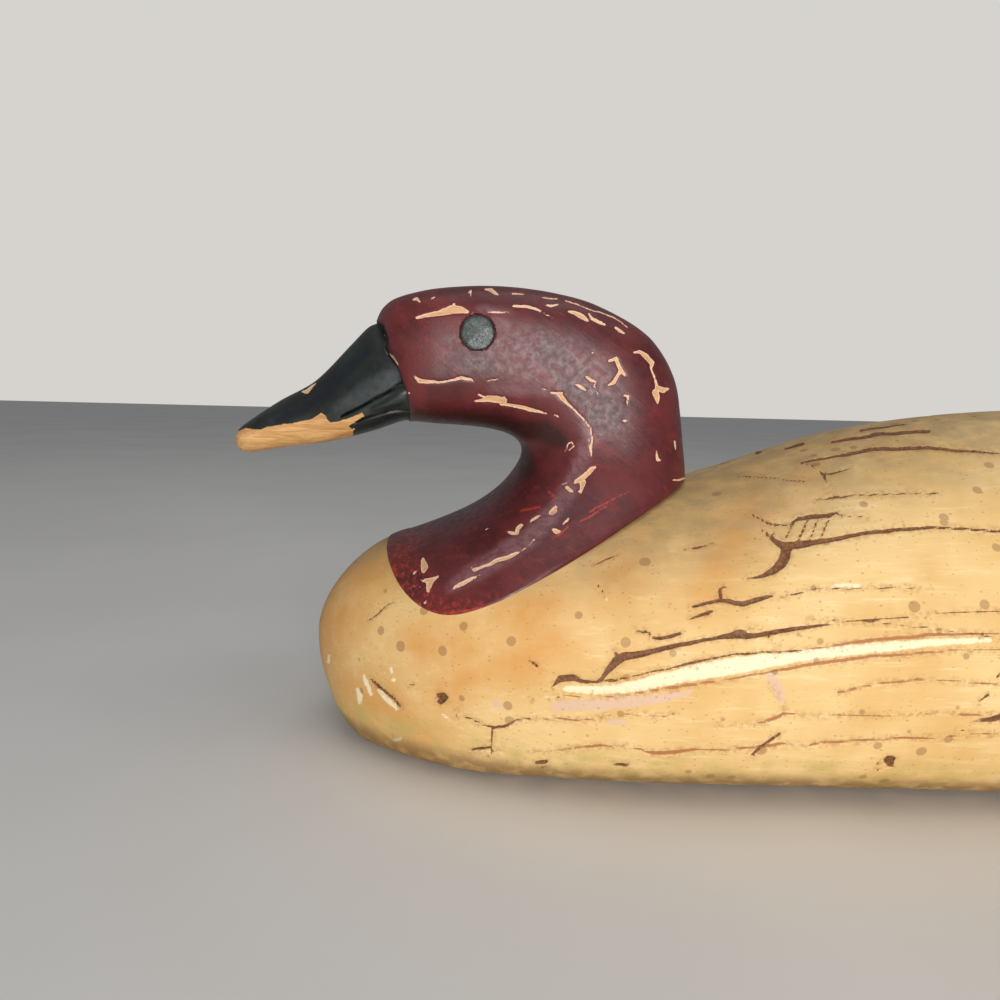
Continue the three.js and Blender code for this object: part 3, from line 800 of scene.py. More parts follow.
@dataclass
class HeadBlock:
    """The carved head: bill, head and neck, down to a skirt that sits on the body's dome.

    Sections are spanned between a lower line, under the bill and down the throat, and an upper
    line, over the crown and down the nape. Each is a superellipse with its own powers below and
    above its widest level, and near the foot it sinks onto the body.
    """

    body: BodyBlock
    head_width: float = 52.6
    bill_width: float = 31.0
    lore_reach: float = 3.4
    skirt_edge: float = 0.4
    bill_rings: int = 92
    neck_rings: int = 318
    seat_rings: int = 6
    near_points: int = 152
    far_points: int = 74
    eye_x: float = -123.5
    eye_z: float = 147.4
    socket_radius: float = 6.1
    socket_depth: float = 1.7

    def _shares(self, rows: np.ndarray, count: int) -> np.ndarray:
        """Places along a run, evenly spread over the lengths of its two lines together."""
        fine = np.linspace(0, 1, 4001)
        step = np.diff(spline(rows[:, :4], fine), axis=0)
        length = np.hypot(step[:, 0], step[:, 1]) + np.hypot(step[:, 2], step[:, 3])
        run = np.concatenate([[0.0], np.cumsum(length)])
        return np.interp(np.linspace(0, run[-1], count), run, fine)

    def _run(
        self, stations: Sequence[Station], width: float, count: int, lore: Callable[[np.ndarray], np.ndarray]
    ) -> tuple[np.ndarray, np.ndarray]:
        """Rings along one run of stations.

        At angle phi, from 0 at the lower to pi at the upper point, the lateral share is
        sin(phi)^(2/power), and the share of the way up moves away from the widest level by
        |cos(phi)|^(2/power).

        Args:
            stations: The sections, in order.
            width: Width of the piece that the sections' shares refer to.
            count: Number of rings.
            lore: How far forward the side reaches, in mm, by the share along the run.

        Returns:
            The rings, and each ring's share along the run.
        """
        rows = np.array([station.row(width) for station in stations])
        t = self._shares(rows, count)
        size = spline(rows, t)[:, :, None].transpose(1, 0, 2)
        low_x, low_z, high_x, high_z, half, widest, under, over, sink = size
        phi = np.linspace(0, math.pi, 1601)[None, :]
        below = phi < math.pi / 2
        power = np.where(below, 2 / under, 2 / over)
        reach = np.abs(np.cos(phi)) ** power
        lateral = np.maximum(0.0, np.sin(phi)) ** power
        up = np.where(below, widest * (1 - reach), widest + (1 - widest) * reach)
        bulge = lore(t)[:, None] * lateral * np.exp(-(((up - 0.27) / 0.2) ** 2))
        x = low_x + (high_x - low_x) * up + bulge
        y = half * lateral
        z = low_z + (high_z - low_z) * up
        sunk = np.clip(sink, 0.0, 1.0)
        z = z + sunk * (self.body.dome(x, y) + self.skirt_edge - z)
        curve = np.stack([x, y, z], axis=2)
        near = even_ring(curve, self.near_points) * np.array([1, -1, 1])
        far = even_ring(curve, self.far_points)[:, 1:-1][:, ::-1]
        return np.concatenate([near, far], axis=1), t

    def skin(self) -> tuple[Skin, np.ndarray]:
        """The head's surface before any marks are cut into it.

        Returns:
            The skin, and for each ring its place: 0 to 1 along the bill, 1 to 2 along the head
            and neck, and above 2 across the seat.
        """
        bill, t = self._run(BILL_STATIONS, self.bill_width, self.bill_rings, lambda s: self.lore_reach * s**3)
        neck, u = self._run(
            NECK_STATIONS,
            self.head_width,
            self.neck_rings,
            lambda s: self.lore_reach * np.maximum(0, 1 - 6 * s) ** 2,
        )
        rim = neck[-1].copy()
        middle = rim.mean(axis=0)
        share = np.linspace(1.0, 0.0, self.seat_rings + 2)[1:-1, None, None]
        seat = middle + (rim - middle) * share
        seat = np.concatenate([rim[None], seat])
        seat[:, :, 2] = self.body.dome(seat[:, :, 0], seat[:, :, 1]) - self.skirt_edge
        rings = np.concatenate([bill, neck, seat])
        place = np.concatenate([t, 1 + u, 2 + np.arange(1, len(seat) + 1)])
        last = seat[-1].mean(axis=0)
        return Skin(rings, bill[0].mean(axis=0), last), place


def tint(red: int, green: int, blue: int) -> Colour:
    """Linear colour from the 0 to 255 numbers of a paint card."""
    return tuple(((c / 255 + 0.055) / 1.055) ** 2.4 if c > 10 else c / 3294.6 for c in (red, green, blue))


Socket = bpy.types.NodeSocket
Plug = Socket | float | Colour


class Wiring:
    """Shorthand for placing shader nodes in one tree and joining them."""

    def __init__(self, tree: bpy.types.NodeTree) -> None:
        """Work on a tree."""
        self.tree = tree

    def place(self, kind: str, **settings: object) -> bpy.types.Node:
        """Add a node of a kind with its settings."""
        node = self.tree.nodes.new(kind)
        for name, value in settings.items():
            setattr(node, name, value)
        return node

    def feed(self, socket: Socket, value: Plug) -> None:
        """Link a socket to another one, or set the number or colour that it holds."""
        if isinstance(value, Socket):
            self.tree.links.new(value, socket)
        elif socket.type == "RGBA":
            socket.default_value = (*value, 1.0)
        else:
            socket.default_value = value

    def sum(self, operation: str, *values: Plug) -> Socket:
        """Result of one Math operation on one to three numbers."""
        node = self.place("ShaderNodeMath", operation=operation)
        for socket, value in zip(node.inputs, values):
            self.feed(socket, value)
        return node.outputs[0]

    def stretch(self, vector: Socket, scale: Colour) -> Socket:
        """A vector with its three parts multiplied."""
        node = self.place("ShaderNodeVectorMath", operation="MULTIPLY")
        self.feed(node.inputs[0], vector)
        self.feed(node.inputs[1], scale)
        return node.outputs[0]

    def blend(self, share: Plug, first: Plug, second: Plug, mode: str = "MIX") -> Socket:
        """Colour between two others."""
        node = self.place("ShaderNodeMix", data_type="RGBA", blend_type=mode)
        for index, value in ((0, share), (6, first), (7, second)):
            self.feed(node.inputs[index], value)
        return node.outputs[2]

    def noise(
        self, vector: Socket, size: float, detail: float = 3.0, rough: float = 0.55, bend: float = 0.0
    ) -> Socket:
        """Noise from 0 to 1 over a vector in mm, its lumps about size mm across."""
        node = self.place("ShaderNodeTexNoise")
        numbers = {"Vector": vector, "Scale": 1 / size, "Detail": detail}
        numbers |= {"Roughness": rough, "Distortion": bend}
        for name, value in numbers.items():
            self.feed(node.inputs[name], value)
        return node.outputs[0]

    def step(self, value: Plug, low: Plug, high: Plug, start: float = 0.0, end: float = 1.0) -> Socket:
        """Smooth step of a value from start at low to end at high."""
        node = self.place("ShaderNodeMapRange", interpolation_type="SMOOTHSTEP")
        for socket, number in zip(node.inputs, (value, low, high, start, end)):
            self.feed(socket, number)
        return node.outputs[0]

    def layer(self, name: str) -> Socket:
        """Number that the mesh holds under a name."""
        return self.place("ShaderNodeAttribute", attribute_name=name).outputs["Fac"]

    def millimetres(self) -> Socket:
        """The piece's own coordinates in mm."""
        return self.stretch(self.place("ShaderNodeTexCoord").outputs["Object"], (1000.0, 1000.0, 1000.0))

    def use(self, group: bpy.types.NodeTree, **numbers: Plug) -> bpy.types.NodeOutputs:
        """Place a group and give its inputs, and return its outputs."""
        node = self.place("ShaderNodeGroup", node_tree=group)
        for name, value in numbers.items():
            self.feed(node.inputs[name], value)
        return node.outputs


def new_group(
    name: str, inputs: dict[str, str], outputs: dict[str, str]
) -> tuple[Wiring, Socket, bpy.types.Node]:
    """Start a shader node group.

    Args:
        name: Name of the group.
        inputs: Socket kinds by name, each Float, Vector or Color.
        outputs: The same for what it puts out.

    Returns:
        Its wiring, the sockets that its inputs come in by, and the node that takes its outputs.
    """
    tree = bpy.data.node_groups.new(name, "ShaderNodeTree")
    for sockets, way in ((inputs, "INPUT"), (outputs, "OUTPUT")):
        for title, kind in sockets.items():
            tree.interface.new_socket(name=title, in_out=way, socket_type=f"NodeSocket{kind}")
    wiring = Wiring(tree)
    return wiring, wiring.place("NodeGroupInput").outputs, wiring.place("NodeGroupOutput")


def ragged_edge() -> bpy.types.NodeTree:
    """Group that turns a distance field in mm into a mask with a torn edge."""
    inputs = {"Place": "Vector", "Field": "Float", "Tear": "Float", "Soft": "Float"}
    w, given, out = new_group("ragged edge", inputs, {"Mask": "Float"})
    fine = w.noise(given["Place"], 1.1, 5.0, 0.65)
    lumps = w.sum("SUBTRACT", fine, 0.5)
    torn = w.sum("MULTIPLY_ADD", lumps, w.sum("MULTIPLY", given["Tear"], 2.0), given["Field"])
    w.feed(out.inputs["Mask"], w.step(torn, w.sum("MULTIPLY", given["Soft"], -1.0), given["Soft"]))
    return w.tree


def wood_grain() -> bpy.types.NodeTree:
    """Group for bare softwood with its grain along X, from a light and a dark colour."""
    inputs = {"Place": "Vector", "Light": "Color", "Dark": "Color"}
    w, given, out = new_group("wood grain", inputs, {"Colour": "Color", "Height": "Float"})
    along = w.stretch(given["Place"], (0.06, 1.0, 1.0))
    rings = w.noise(along, 1.6, 4.0, 0.6, 0.6)
    fibre = w.noise(w.stretch(given["Place"], (0.1, 1.0, 1.0)), 0.45, 3.0, 0.6)
    tone = w.sum("MULTIPLY_ADD", fibre, 0.35, w.sum("MULTIPLY", rings, 0.65))
    w.feed(out.inputs["Colour"], w.blend(w.step(tone, 0.36, 0.64), given["Light"], given["Dark"]))
    w.feed(out.inputs["Height"], tone)
    return w.tree


def brush_marks() -> bpy.types.NodeTree:
    """Group for fine strokes of a brush, over a vector whose X runs along the strokes."""
    w, given, out = new_group("brush marks", {"Place": "Vector"}, {"Height": "Float"})
    hair = w.noise(w.stretch(given["Place"], (0.08, 1.0, 1.0)), 0.55, 4.0, 0.6, 0.3)
    sweep = w.noise(w.stretch(given["Place"], (0.12, 1.0, 1.0)), 2.6, 3.0, 0.5, 0.4)
    w.feed(out.inputs["Height"], w.sum("MULTIPLY_ADD", sweep, 0.6, w.sum("MULTIPLY", hair, 0.4)))
    return w.tree


def fly_specks() -> bpy.types.NodeTree:
    """Group for small round specks, about size mm apart, of which amount is the share kept."""
    inputs = {"Place": "Vector", "Size": "Float", "Amount": "Float"}
    w, given, out = new_group("fly specks", inputs, {"Mask": "Float"})
    cells = w.place("ShaderNodeTexVoronoi")
    w.feed(cells.inputs["Vector"], given["Place"])
    w.feed(cells.inputs["Scale"], w.sum("DIVIDE", 1.0, given["Size"]))
    chance = w.place("ShaderNodeSeparateColor")
    w.feed(chance.inputs[0], cells.outputs["Color"])
    kept = w.sum("LESS_THAN", chance.outputs[0], given["Amount"])
    radius = w.sum("MULTIPLY_ADD", chance.outputs[1], 0.24, 0.06)
    inside = w.sum("SUBTRACT", radius, cells.outputs["Distance"])
    dot = w.step(inside, 0.0, 0.06)
    w.feed(out.inputs["Mask"], w.sum("MULTIPLY", kept, dot))
    return w.tree


@dataclass
class Effects:
    """The node groups that several finishes share, each built once."""

    ragged: bpy.types.NodeTree = field(default_factory=ragged_edge)
    grain: bpy.types.NodeTree = field(default_factory=wood_grain)
    brush: bpy.types.NodeTree = field(default_factory=brush_marks)
    specks: bpy.types.NodeTree = field(default_factory=fly_specks)


def new_finish(
    name: str, roughness: float, specular: float = 0.5
) -> tuple[bpy.types.Material, Wiring, bpy.types.Node]:
    """Start a material with one Principled shader.

    Args:
        name: Name of the material.
        roughness: Its roughness where nothing feeds it.
        specular: Its specular level.

    Returns:
        The material, its wiring and the shader.
    """
    made = bpy.data.materials.new(name)
    made.use_nodes = True
    shader = next(node for node in made.node_tree.nodes if node.type == "BSDF_PRINCIPLED")
    shader.inputs["Roughness"].default_value = roughness
    shader.inputs["Specular IOR Level"].default_value = specular
    return made, Wiring(made.node_tree), shader


def emboss(w: Wiring, shader: bpy.types.Node, height: Socket, strength: float = 1.0) -> None:
    """Feed the shader's normal from a height in mm."""
    bump = w.place("ShaderNodeBump")
    bump.inputs["Distance"].default_value = MM
    bump.inputs["Strength"].default_value = strength
    w.feed(bump.inputs["Height"], height)
    w.feed(shader.inputs["Normal"], bump.outputs[0])


@dataclass(frozen=True)
class BodyPaint:
    """Thin cream-tan paint over wood, yellowed and checked along the grain; painted shade at foot and top.

    The sizes are those of the lumps of each pattern, or how far apart the specks are, in mm.
    """

    roughness: float = 0.55
    specular: float = 0.35
    patch_size: float = 34.0
    orange_size: float = 16.0
    olive_size: float = 13.0
    top_dust_and_shade_size: float = 9.0
    stain_size: float = 1.6
    check_size: float = 0.9
    pore_spacing: float = 1.15
    spot_spacing: float = 7.0
    foot_shade_size: float = 6.0
    gloss_size: float = 5.0
    tooth_size: float = 0.7
    cream: Colour = tint(236, 199, 137)
    tan: Colour = tint(222, 178, 110)
    light: Colour = tint(247, 222, 170)
    orange: Colour = tint(219, 157, 84)
    olive: Colour = tint(196, 176, 104)
    # Colour of the painted shade along the foot.
    foot_shade: Colour = tint(140, 106, 62)
    # Colour of dust and painted shade on the upward-facing top.
    top_dust_and_shade: Colour = tint(170, 143, 98)
    ground: Colour = tint(250, 234, 195)
    old_pink: Colour = tint(222, 186, 162)
    stain: Colour = tint(176, 124, 74)
    check: Colour = tint(98, 62, 36)
    check_light: Colour = tint(140, 90, 52)
    rust: Colour = tint(176, 108, 64)

    def build(self, effects: Effects) -> bpy.types.Material:
        """Make the material."""
        made, w, shader = new_finish("body paint", self.roughness, self.specular)
        mm = w.millimetres()
        strokes = w.use(effects.brush, Place=mm)["Height"]
        colour = w.blend(w.step(w.noise(mm, self.patch_size, 3.0), 0.35, 0.68), self.cream, self.tan)
        colour = w.blend(w.step(strokes, 0.5, 0.72, 0.0, 0.55), colour, self.light)
        colour = w.blend(w.step(strokes, 0.48, 0.3, 0.0, 0.4), colour, self.tan)
        broken = w.step(w.noise(mm, self.orange_size, 4.0), 0.3, 0.62, 0.35, 0.9)
        colour = w.blend(w.sum("MULTIPLY", w.layer("warm"), broken), colour, self.orange)
        foot = w.layer("foot")
        broken = w.step(w.noise(mm, self.olive_size, 4.0), 0.42, 0.65, 0.0, 0.75)
        colour = w.blend(w.sum("MULTIPLY", w.step(foot, 0.0, 0.55), broken), colour, self.olive)
        # Upward-facing parts greyed: dust, and painted shade of the grazing top.
        broken = w.step(w.noise(mm, self.top_dust_and_shade_size, 5.0), 0.3, 0.7, 0.25, 0.8)
        colour = w.blend(w.sum("MULTIPLY", w.layer("sky"), broken), colour, self.top_dust_and_shade)
        pale = w.use(effects.ragged, Place=mm, Field=w.layer("pale"), Tear=0.9, Soft=0.3)["Mask"]
        colour = w.blend(w.sum("MULTIPLY", pale, 0.92), colour, self.ground)
        pink = w.use(effects.ragged, Place=mm, Field=w.layer("pink"), Tear=2.0, Soft=0.5)["Mask"]
        colour = w.blend(w.sum("MULTIPLY", pink, 0.8), colour, self.old_pink)
        crack = w.layer("crack")
        rust = w.layer("rust")
        nearby = w.step(w.sum("MAXIMUM", crack, rust), -2.6, 0.0)
        broken = w.step(w.noise(mm, self.stain_size, 5.0, 0.7), 0.42, 0.66, 0.0, 0.6)
        colour = w.blend(w.sum("MULTIPLY", nearby, broken), colour, self.stain)
        rusty = w.use(effects.ragged, Place=mm, Field=rust, Tear=0.35, Soft=0.16)["Mask"]
        colour = w.blend(w.sum("MULTIPLY", rusty, 0.9), colour, self.rust)
        dark = w.blend(w.step(w.noise(mm, self.check_size, 4.0), 0.35, 0.65), self.check, self.check_light)
        split = w.use(effects.ragged, Place=mm, Field=crack, Tear=0.42, Soft=0.14)["Mask"]
        colour = w.blend(split, colour, dark)
        drawn_out = w.stretch(mm, (0.6, 1.0, 1.0))
        pores = w.use(effects.specks, Place=drawn_out, Size=self.pore_spacing, Amount=0.55)["Mask"]
        colour = w.blend(w.sum("MULTIPLY", pores, 0.42), colour, self.stain)
        spots = w.use(effects.specks, Place=mm, Size=self.spot_spacing, Amount=0.4)["Mask"]
        colour = w.blend(w.sum("MULTIPLY", spots, 0.5), colour, self.check_light)
        # Painted shade along the foot, where the underside turns away from the light.
        broken = w.step(w.noise(mm, self.foot_shade_size, 4.0), 0.25, 0.6, 0.35, 0.9)
        colour = w.blend(w.sum("MULTIPLY", w.step(foot, 0.55, 1.0), broken), colour, self.foot_shade)
        w.feed(shader.inputs["Base Color"], colour)
        gloss = w.step(w.noise(mm, self.gloss_size, 4.0), 0.3, 0.7, 0.46, 0.66)
        w.feed(shader.inputs["Roughness"], gloss)
        height = w.sum("MULTIPLY_ADD", strokes, 0.10, w.sum("MULTIPLY", split, -0.22))
        height = w.sum("MULTIPLY_ADD", pores, -0.06, height)
        height = w.sum("MULTIPLY_ADD", w.noise(mm, self.tooth_size, 4.0, 0.6), 0.05, height)
        emboss(w, shader, w.sum("MULTIPLY_ADD", rusty, -0.12, height))
        return made


@dataclass(frozen=True)
class HeadPaint:
    """Maroon head and black bill, flaked down to pale ground and bare wood.

    The sizes are those of the lumps of each pattern in mm. The brush went along X turned by
    brush_turn degrees about Y.
    """

    roughness: float = 0.42
    specular: float = 0.45
    brush_turn: float = -38.0
    mottle_size: float = 15.0
    hem_size: float = 2.2
    bill_sheen_size: float = 3.0
    gloss_size: float = 2.4
    tooth_size: float = 1.0
    maroon: Colour = tint(104, 40, 40)
    maroon_dark: Colour = tint(78, 28, 30)
    maroon_red: Colour = tint(138, 46, 44)
    old_red: Colour = tint(184, 62, 44)
    # Colour of the painted highlight on the neck and cheek ridges.
    painted_sheen: Colour = tint(134, 96, 100)
    # Colour of the painted shade under the jaw and in the throat.
    jaw_shade: Colour = tint(48, 26, 20)
    black: Colour = tint(24, 27, 26)
    black_green: Colour = tint(34, 42, 36)
    # Colour of the painted shade in the bill's hollow.
    valley_shade: Colour = tint(20, 24, 34)
    # Colour of the painted highlight on the side of the bill.
    bill_sheen: Colour = tint(62, 66, 68)
    wood: Colour = tint(226, 178, 116)
    wood_dark: Colour = tint(190, 134, 74)
    primer: Colour = tint(240, 196, 164)
    # Colour of the painted shade in the bill's cuts.
    cut_shade: Colour = tint(10, 10, 11)

    def build(self, effects: Effects) -> bpy.types.Material:
        """Make the material."""
        made, w, shader = new_finish("head paint", self.roughness, self.specular)
        mm = w.millimetres()
        turned = w.place("ShaderNodeMapping", vector_type="POINT")
        turned.inputs["Rotation"].default_value = (0.0, math.radians(self.brush_turn), 0.0)
        w.feed(turned.inputs["Vector"], mm)
        along = turned.outputs[0]
        strokes = w.use(effects.brush, Place=along)["Height"]
        mottle = w.noise(mm, self.mottle_size, 4.0)
        maroon = w.blend(w.step(mottle, 0.34, 0.66), self.maroon_dark, self.maroon)
        maroon = w.blend(w.step(strokes, 0.5, 0.75, 0.0, 0.7), maroon, self.maroon_red)
        # Painted highlight: grey-violet sheen along the neck and cheek ridges, broken by the brush strokes.
        painted_sheen = w.sum("MULTIPLY", w.layer("sheen_mask"), w.step(strokes, 0.3, 0.62, 0.1, 0.75))
        maroon = w.blend(painted_sheen, maroon, self.painted_sheen)
        # Painted shade under the jaw and in the throat.
        maroon = w.blend(w.sum("MULTIPLY", w.layer("jaw_shade"), 0.85), maroon, self.jaw_shade)
        scratch = w.use(effects.ragged, Place=along, Field=w.layer("scratch"), Tear=1.2, Soft=0.25)["Mask"]
        maroon = w.blend(w.sum("MULTIPLY", scratch, 0.75), maroon, self.old_red)
        broken = w.step(w.noise(mm, self.hem_size, 5.0, 0.7), 0.45, 0.68, 0.0, 0.8)
        maroon = w.blend(w.sum("MULTIPLY", w.layer("hem"), broken), maroon, self.old_red)
        black = w.blend(w.step(mottle, 0.4, 0.64), self.black, self.black_green)
        # Painted shade in the hollow along the side of the bill.
        black = w.blend(w.sum("MULTIPLY", w.layer("valley"), 0.8), black, self.valley_shade)
        # Painted highlight on the bill's side plane, broken up by noise.
        broken = w.step(w.noise(mm, self.bill_sheen_size, 5.0, 0.7), 0.3, 0.62, 0.35, 1.0)
        black = w.blend(w.sum("MULTIPLY", w.layer("bill_sheen"), broken), black, self.bill_sheen)
        on_bill = w.step(w.layer("bill"), -0.2, 0.2)
        colour = w.blend(on_bill, maroon, black)
        # Painted shade: the bill's cuts darkened to near black.
        colour = w.blend(w.sum("MULTIPLY", w.layer("cut"), 0.9), colour, self.cut_shade)
        wood = w.use(effects.grain, Place=mm, Light=self.wood, Dark=self.wood_dark)
        chip_field = w.layer("chip")
        chip = w.use(effects.ragged, Place=mm, Field=chip_field, Tear=0.3, Soft=0.1)["Mask"]
        inner_field = w.sum("SUBTRACT", chip_field, 0.3)
        core = w.use(effects.ragged, Place=mm, Field=inner_field, Tear=0.3, Soft=0.15)["Mask"]
        inner = w.blend(w.sum("MULTIPLY", core, 0.75), self.primer, wood["Colour"])
        colour = w.blend(chip, colour, inner)
        bare = w.use(effects.ragged, Place=mm, Field=w.layer("bare"), Tear=0.45, Soft=0.1)["Mask"]
        colour = w.blend(bare, colour, wood["Colour"])
        w.feed(shader.inputs["Base Color"], colour)
        gloss = w.step(w.noise(mm, self.gloss_size, 5.0, 0.65), 0.3, 0.7, 0.34, 0.5)
        stripped = w.sum("MAXIMUM", chip, bare)
        w.feed(shader.inputs["Roughness"], w.sum("MULTIPLY_ADD", stripped, 0.2, gloss))
        height = w.sum("MULTIPLY_ADD", strokes, 0.09, w.sum("MULTIPLY", stripped, -0.14))
        height = w.sum("MULTIPLY_ADD", w.noise(mm, self.tooth_size, 4.0, 0.6), 0.05, height)
        emboss(w, shader, w.sum("MULTIPLY_ADD", wood["Height"], w.sum("MULTIPLY", stripped, 0.12), height))
        return made


@dataclass(frozen=True)
class EyePaint:
    """Dark green-black eye, its lacquer crazed and dull in places, with painted glints. Lump sizes in mm."""

    roughness: float = 0.32
    specular: float = 0.5
    cloud_size: float = 3.2
    craze_glint_size: float = 0.6
    black: Colour = tint(24, 30, 28)
    green: Colour = tint(58, 74, 66)
    # Colour of the painted glints on the eye.
    eye_glint: Colour = tint(104, 120, 110)

    def build(self) -> bpy.types.Material:
        """Make the material."""
        made, w, shader = new_finish("eye paint", self.roughness, self.specular)
        mm = w.millimetres()
        cloud = w.noise(mm, self.cloud_size, 4.0, 0.6, 0.5)
        colour = w.blend(w.step(cloud, 0.42, 0.62), self.black, self.green)
        # Crazing for roughness and bump, and painted highlight: pale grey-green glints on the lacquer.
        craze_glint = w.noise(mm, self.craze_glint_size, 5.0, 0.75)
        colour = w.blend(w.step(craze_glint, 0.58, 0.7, 0.0, 0.5), colour, self.eye_glint)
        w.feed(shader.inputs["Base Color"], colour)
        w.feed(shader.inputs["Roughness"], w.step(craze_glint, 0.35, 0.7, 0.25, 0.55))
        emboss(w, shader, w.sum("MULTIPLY_ADD", craze_glint, 0.06, w.sum("MULTIPLY", cloud, 0.12)))
        return made


@dataclass(frozen=True)
class FloorFinish:
    """Plain pale floor."""

    roughness: float = 0.75
    specular: float = 0.2
    cloud_size: float = 220.0
    pale: Colour = tint(226, 224, 220)
    shade: Colour = tint(220, 218, 214)

    def build(self) -> bpy.types.Material:
        """Make the material."""
        made, w, shader = new_finish("floor", self.roughness, self.specular)
        cloud = w.noise(w.millimetres(), self.cloud_size)
        w.feed(shader.inputs["Base Color"], w.blend(w.step(cloud, 0.3, 0.7), self.pale, self.shade))
        return made


def reused(
    strokes: Strokes, seed: int, keep: float, shift: tuple[float, float], spread: tuple[float, float]
) -> Strokes:
    """Turn strokes of the near side into others in keeping with them.

    Each one that is kept is mirrored about its own middle along X and moved by the shift plus
    up to the spread either way.

    Args:
        strokes: Strokes to start from.
        seed: Seed of the random draws.
        keep: Share of the strokes that is kept.
        shift: Move along X and Z in mm.
        spread: Most of the further move along X and Z.

    Returns:
        The new strokes.
    """
    rng = np.random.default_rng(seed)
    made = []
    for stroke in strokes:
        chance, across, up = rng.random(3)
        if chance > keep:
            continue
        chain = np.array(stroke)
        middle = chain[:, 0].mean()
        chain[:, 0] = 2 * middle - chain[:, 0] + shift[0] + (2 * across - 1) * spread[0]
        chain[:, 1] += shift[1] + (2 * up - 1) * spread[1]
        made.append(tuple(map(tuple, chain.tolist())))
    return tuple(made)


@dataclass
class BodyPiece:
    """The body with its checks, knocks and soiling."""

    form: BodyBlock
    check_depth: float = 0.55
    rust_depth: float = 0.2
    unevenness: float = 0.22
    warp_size: float = 4.0
    warp: float = 0.35

    def _field(self, near: Strokes, far: Strokes, places: np.ndarray, far_side: np.ndarray) -> np.ndarray:
        """Distance field of one kind of mark on both sides."""
        values = np.empty(len(places))
        values[~far_side] = inside_strokes(places[~far_side], near)
        values[far_side] = inside_strokes(places[far_side], far)
        return values

    def build(self, effects: Effects) -> bpy.types.Object:
        """Make the piece and its finish."""
        skin = self.form.skin()
        points = skin.rings.reshape(-1, 3)
        normals = skin.normals().reshape(-1, 3)
        far_side = points[:, 1] > 0
        warp = np.stack([lattice_noise(points, self.warp_size, seed) for seed in (5, 6)], axis=1)
        places = SIGHTING.places(points) + self.warp * warp
        cracks, rusts, pales, pinks, warms = map(
            SIGHTING.strokes, (BODY_CRACKS, BODY_RUST, BODY_PALE, BODY_PINK, BODY_WARM)
        )
        rear_cracks = reused(cracks, 11, 0.6, (165.0, -14.0), (18.0, 10.0))
        rear_rust = reused(rusts, 12, 0.8, (170.0, -6.0), (14.0, 12.0))
        far_cracks = reused(cracks, 21, 0.75, (18.0, -2.0), (40.0, 12.0))
        far_rust = reused(rusts, 22, 0.9, (30.0, 4.0), (40.0, 14.0))
        far_pale = reused(pales, 23, 0.7, (40.0, 3.0), (20.0, 8.0))
        far_pink = reused(pinks, 24, 0.7, (20.0, 0.0), (20.0, 8.0))
        crack = self._field(cracks + rear_cracks, far_cracks + rear_cracks, places, far_side)
        rust = self._field(rusts + rear_rust, far_rust + rear_rust, places, far_side)
        pale = self._field(pales, far_pale, places, far_side)
        pink = self._field(pinks, far_pink, places, far_side)
        warm = inside_strokes(places, warms)
        uneven = 0.6 * lattice_noise(points, 22.0, 1) + 0.4 * lattice_noise(points, 7.0, 2) + 1.0
        depth = self.unevenness * uneven / 2
        depth += self.check_depth * ease(crack, -0.25, 0.8) + self.rust_depth * ease(rust, -0.2, 0.5)
        skin.rings = (points - depth[:, None] * normals).reshape(skin.rings.shape)
        layers = {
            "crack": crack,
            "rust": rust,
            "pale": pale,
            "pink": pink,
            "warm": ease(warm, -16.0, 6.0),
            # Low band of the body, for an olive tone and for the painted shade at the foot.
            "foot": ease(-points[:, 2], -26.0, -3.0),
            # Upward-facing parts, which the finish greys with dust and painted shade.
            "sky": ease(normals[:, 2], 0.55, 0.98),
        }
        made = put_mesh("body_skin", skin, layers)
        made.data.materials.append(BodyPaint().build(effects))
        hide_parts("body")
        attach(made, ROOT)
        return made


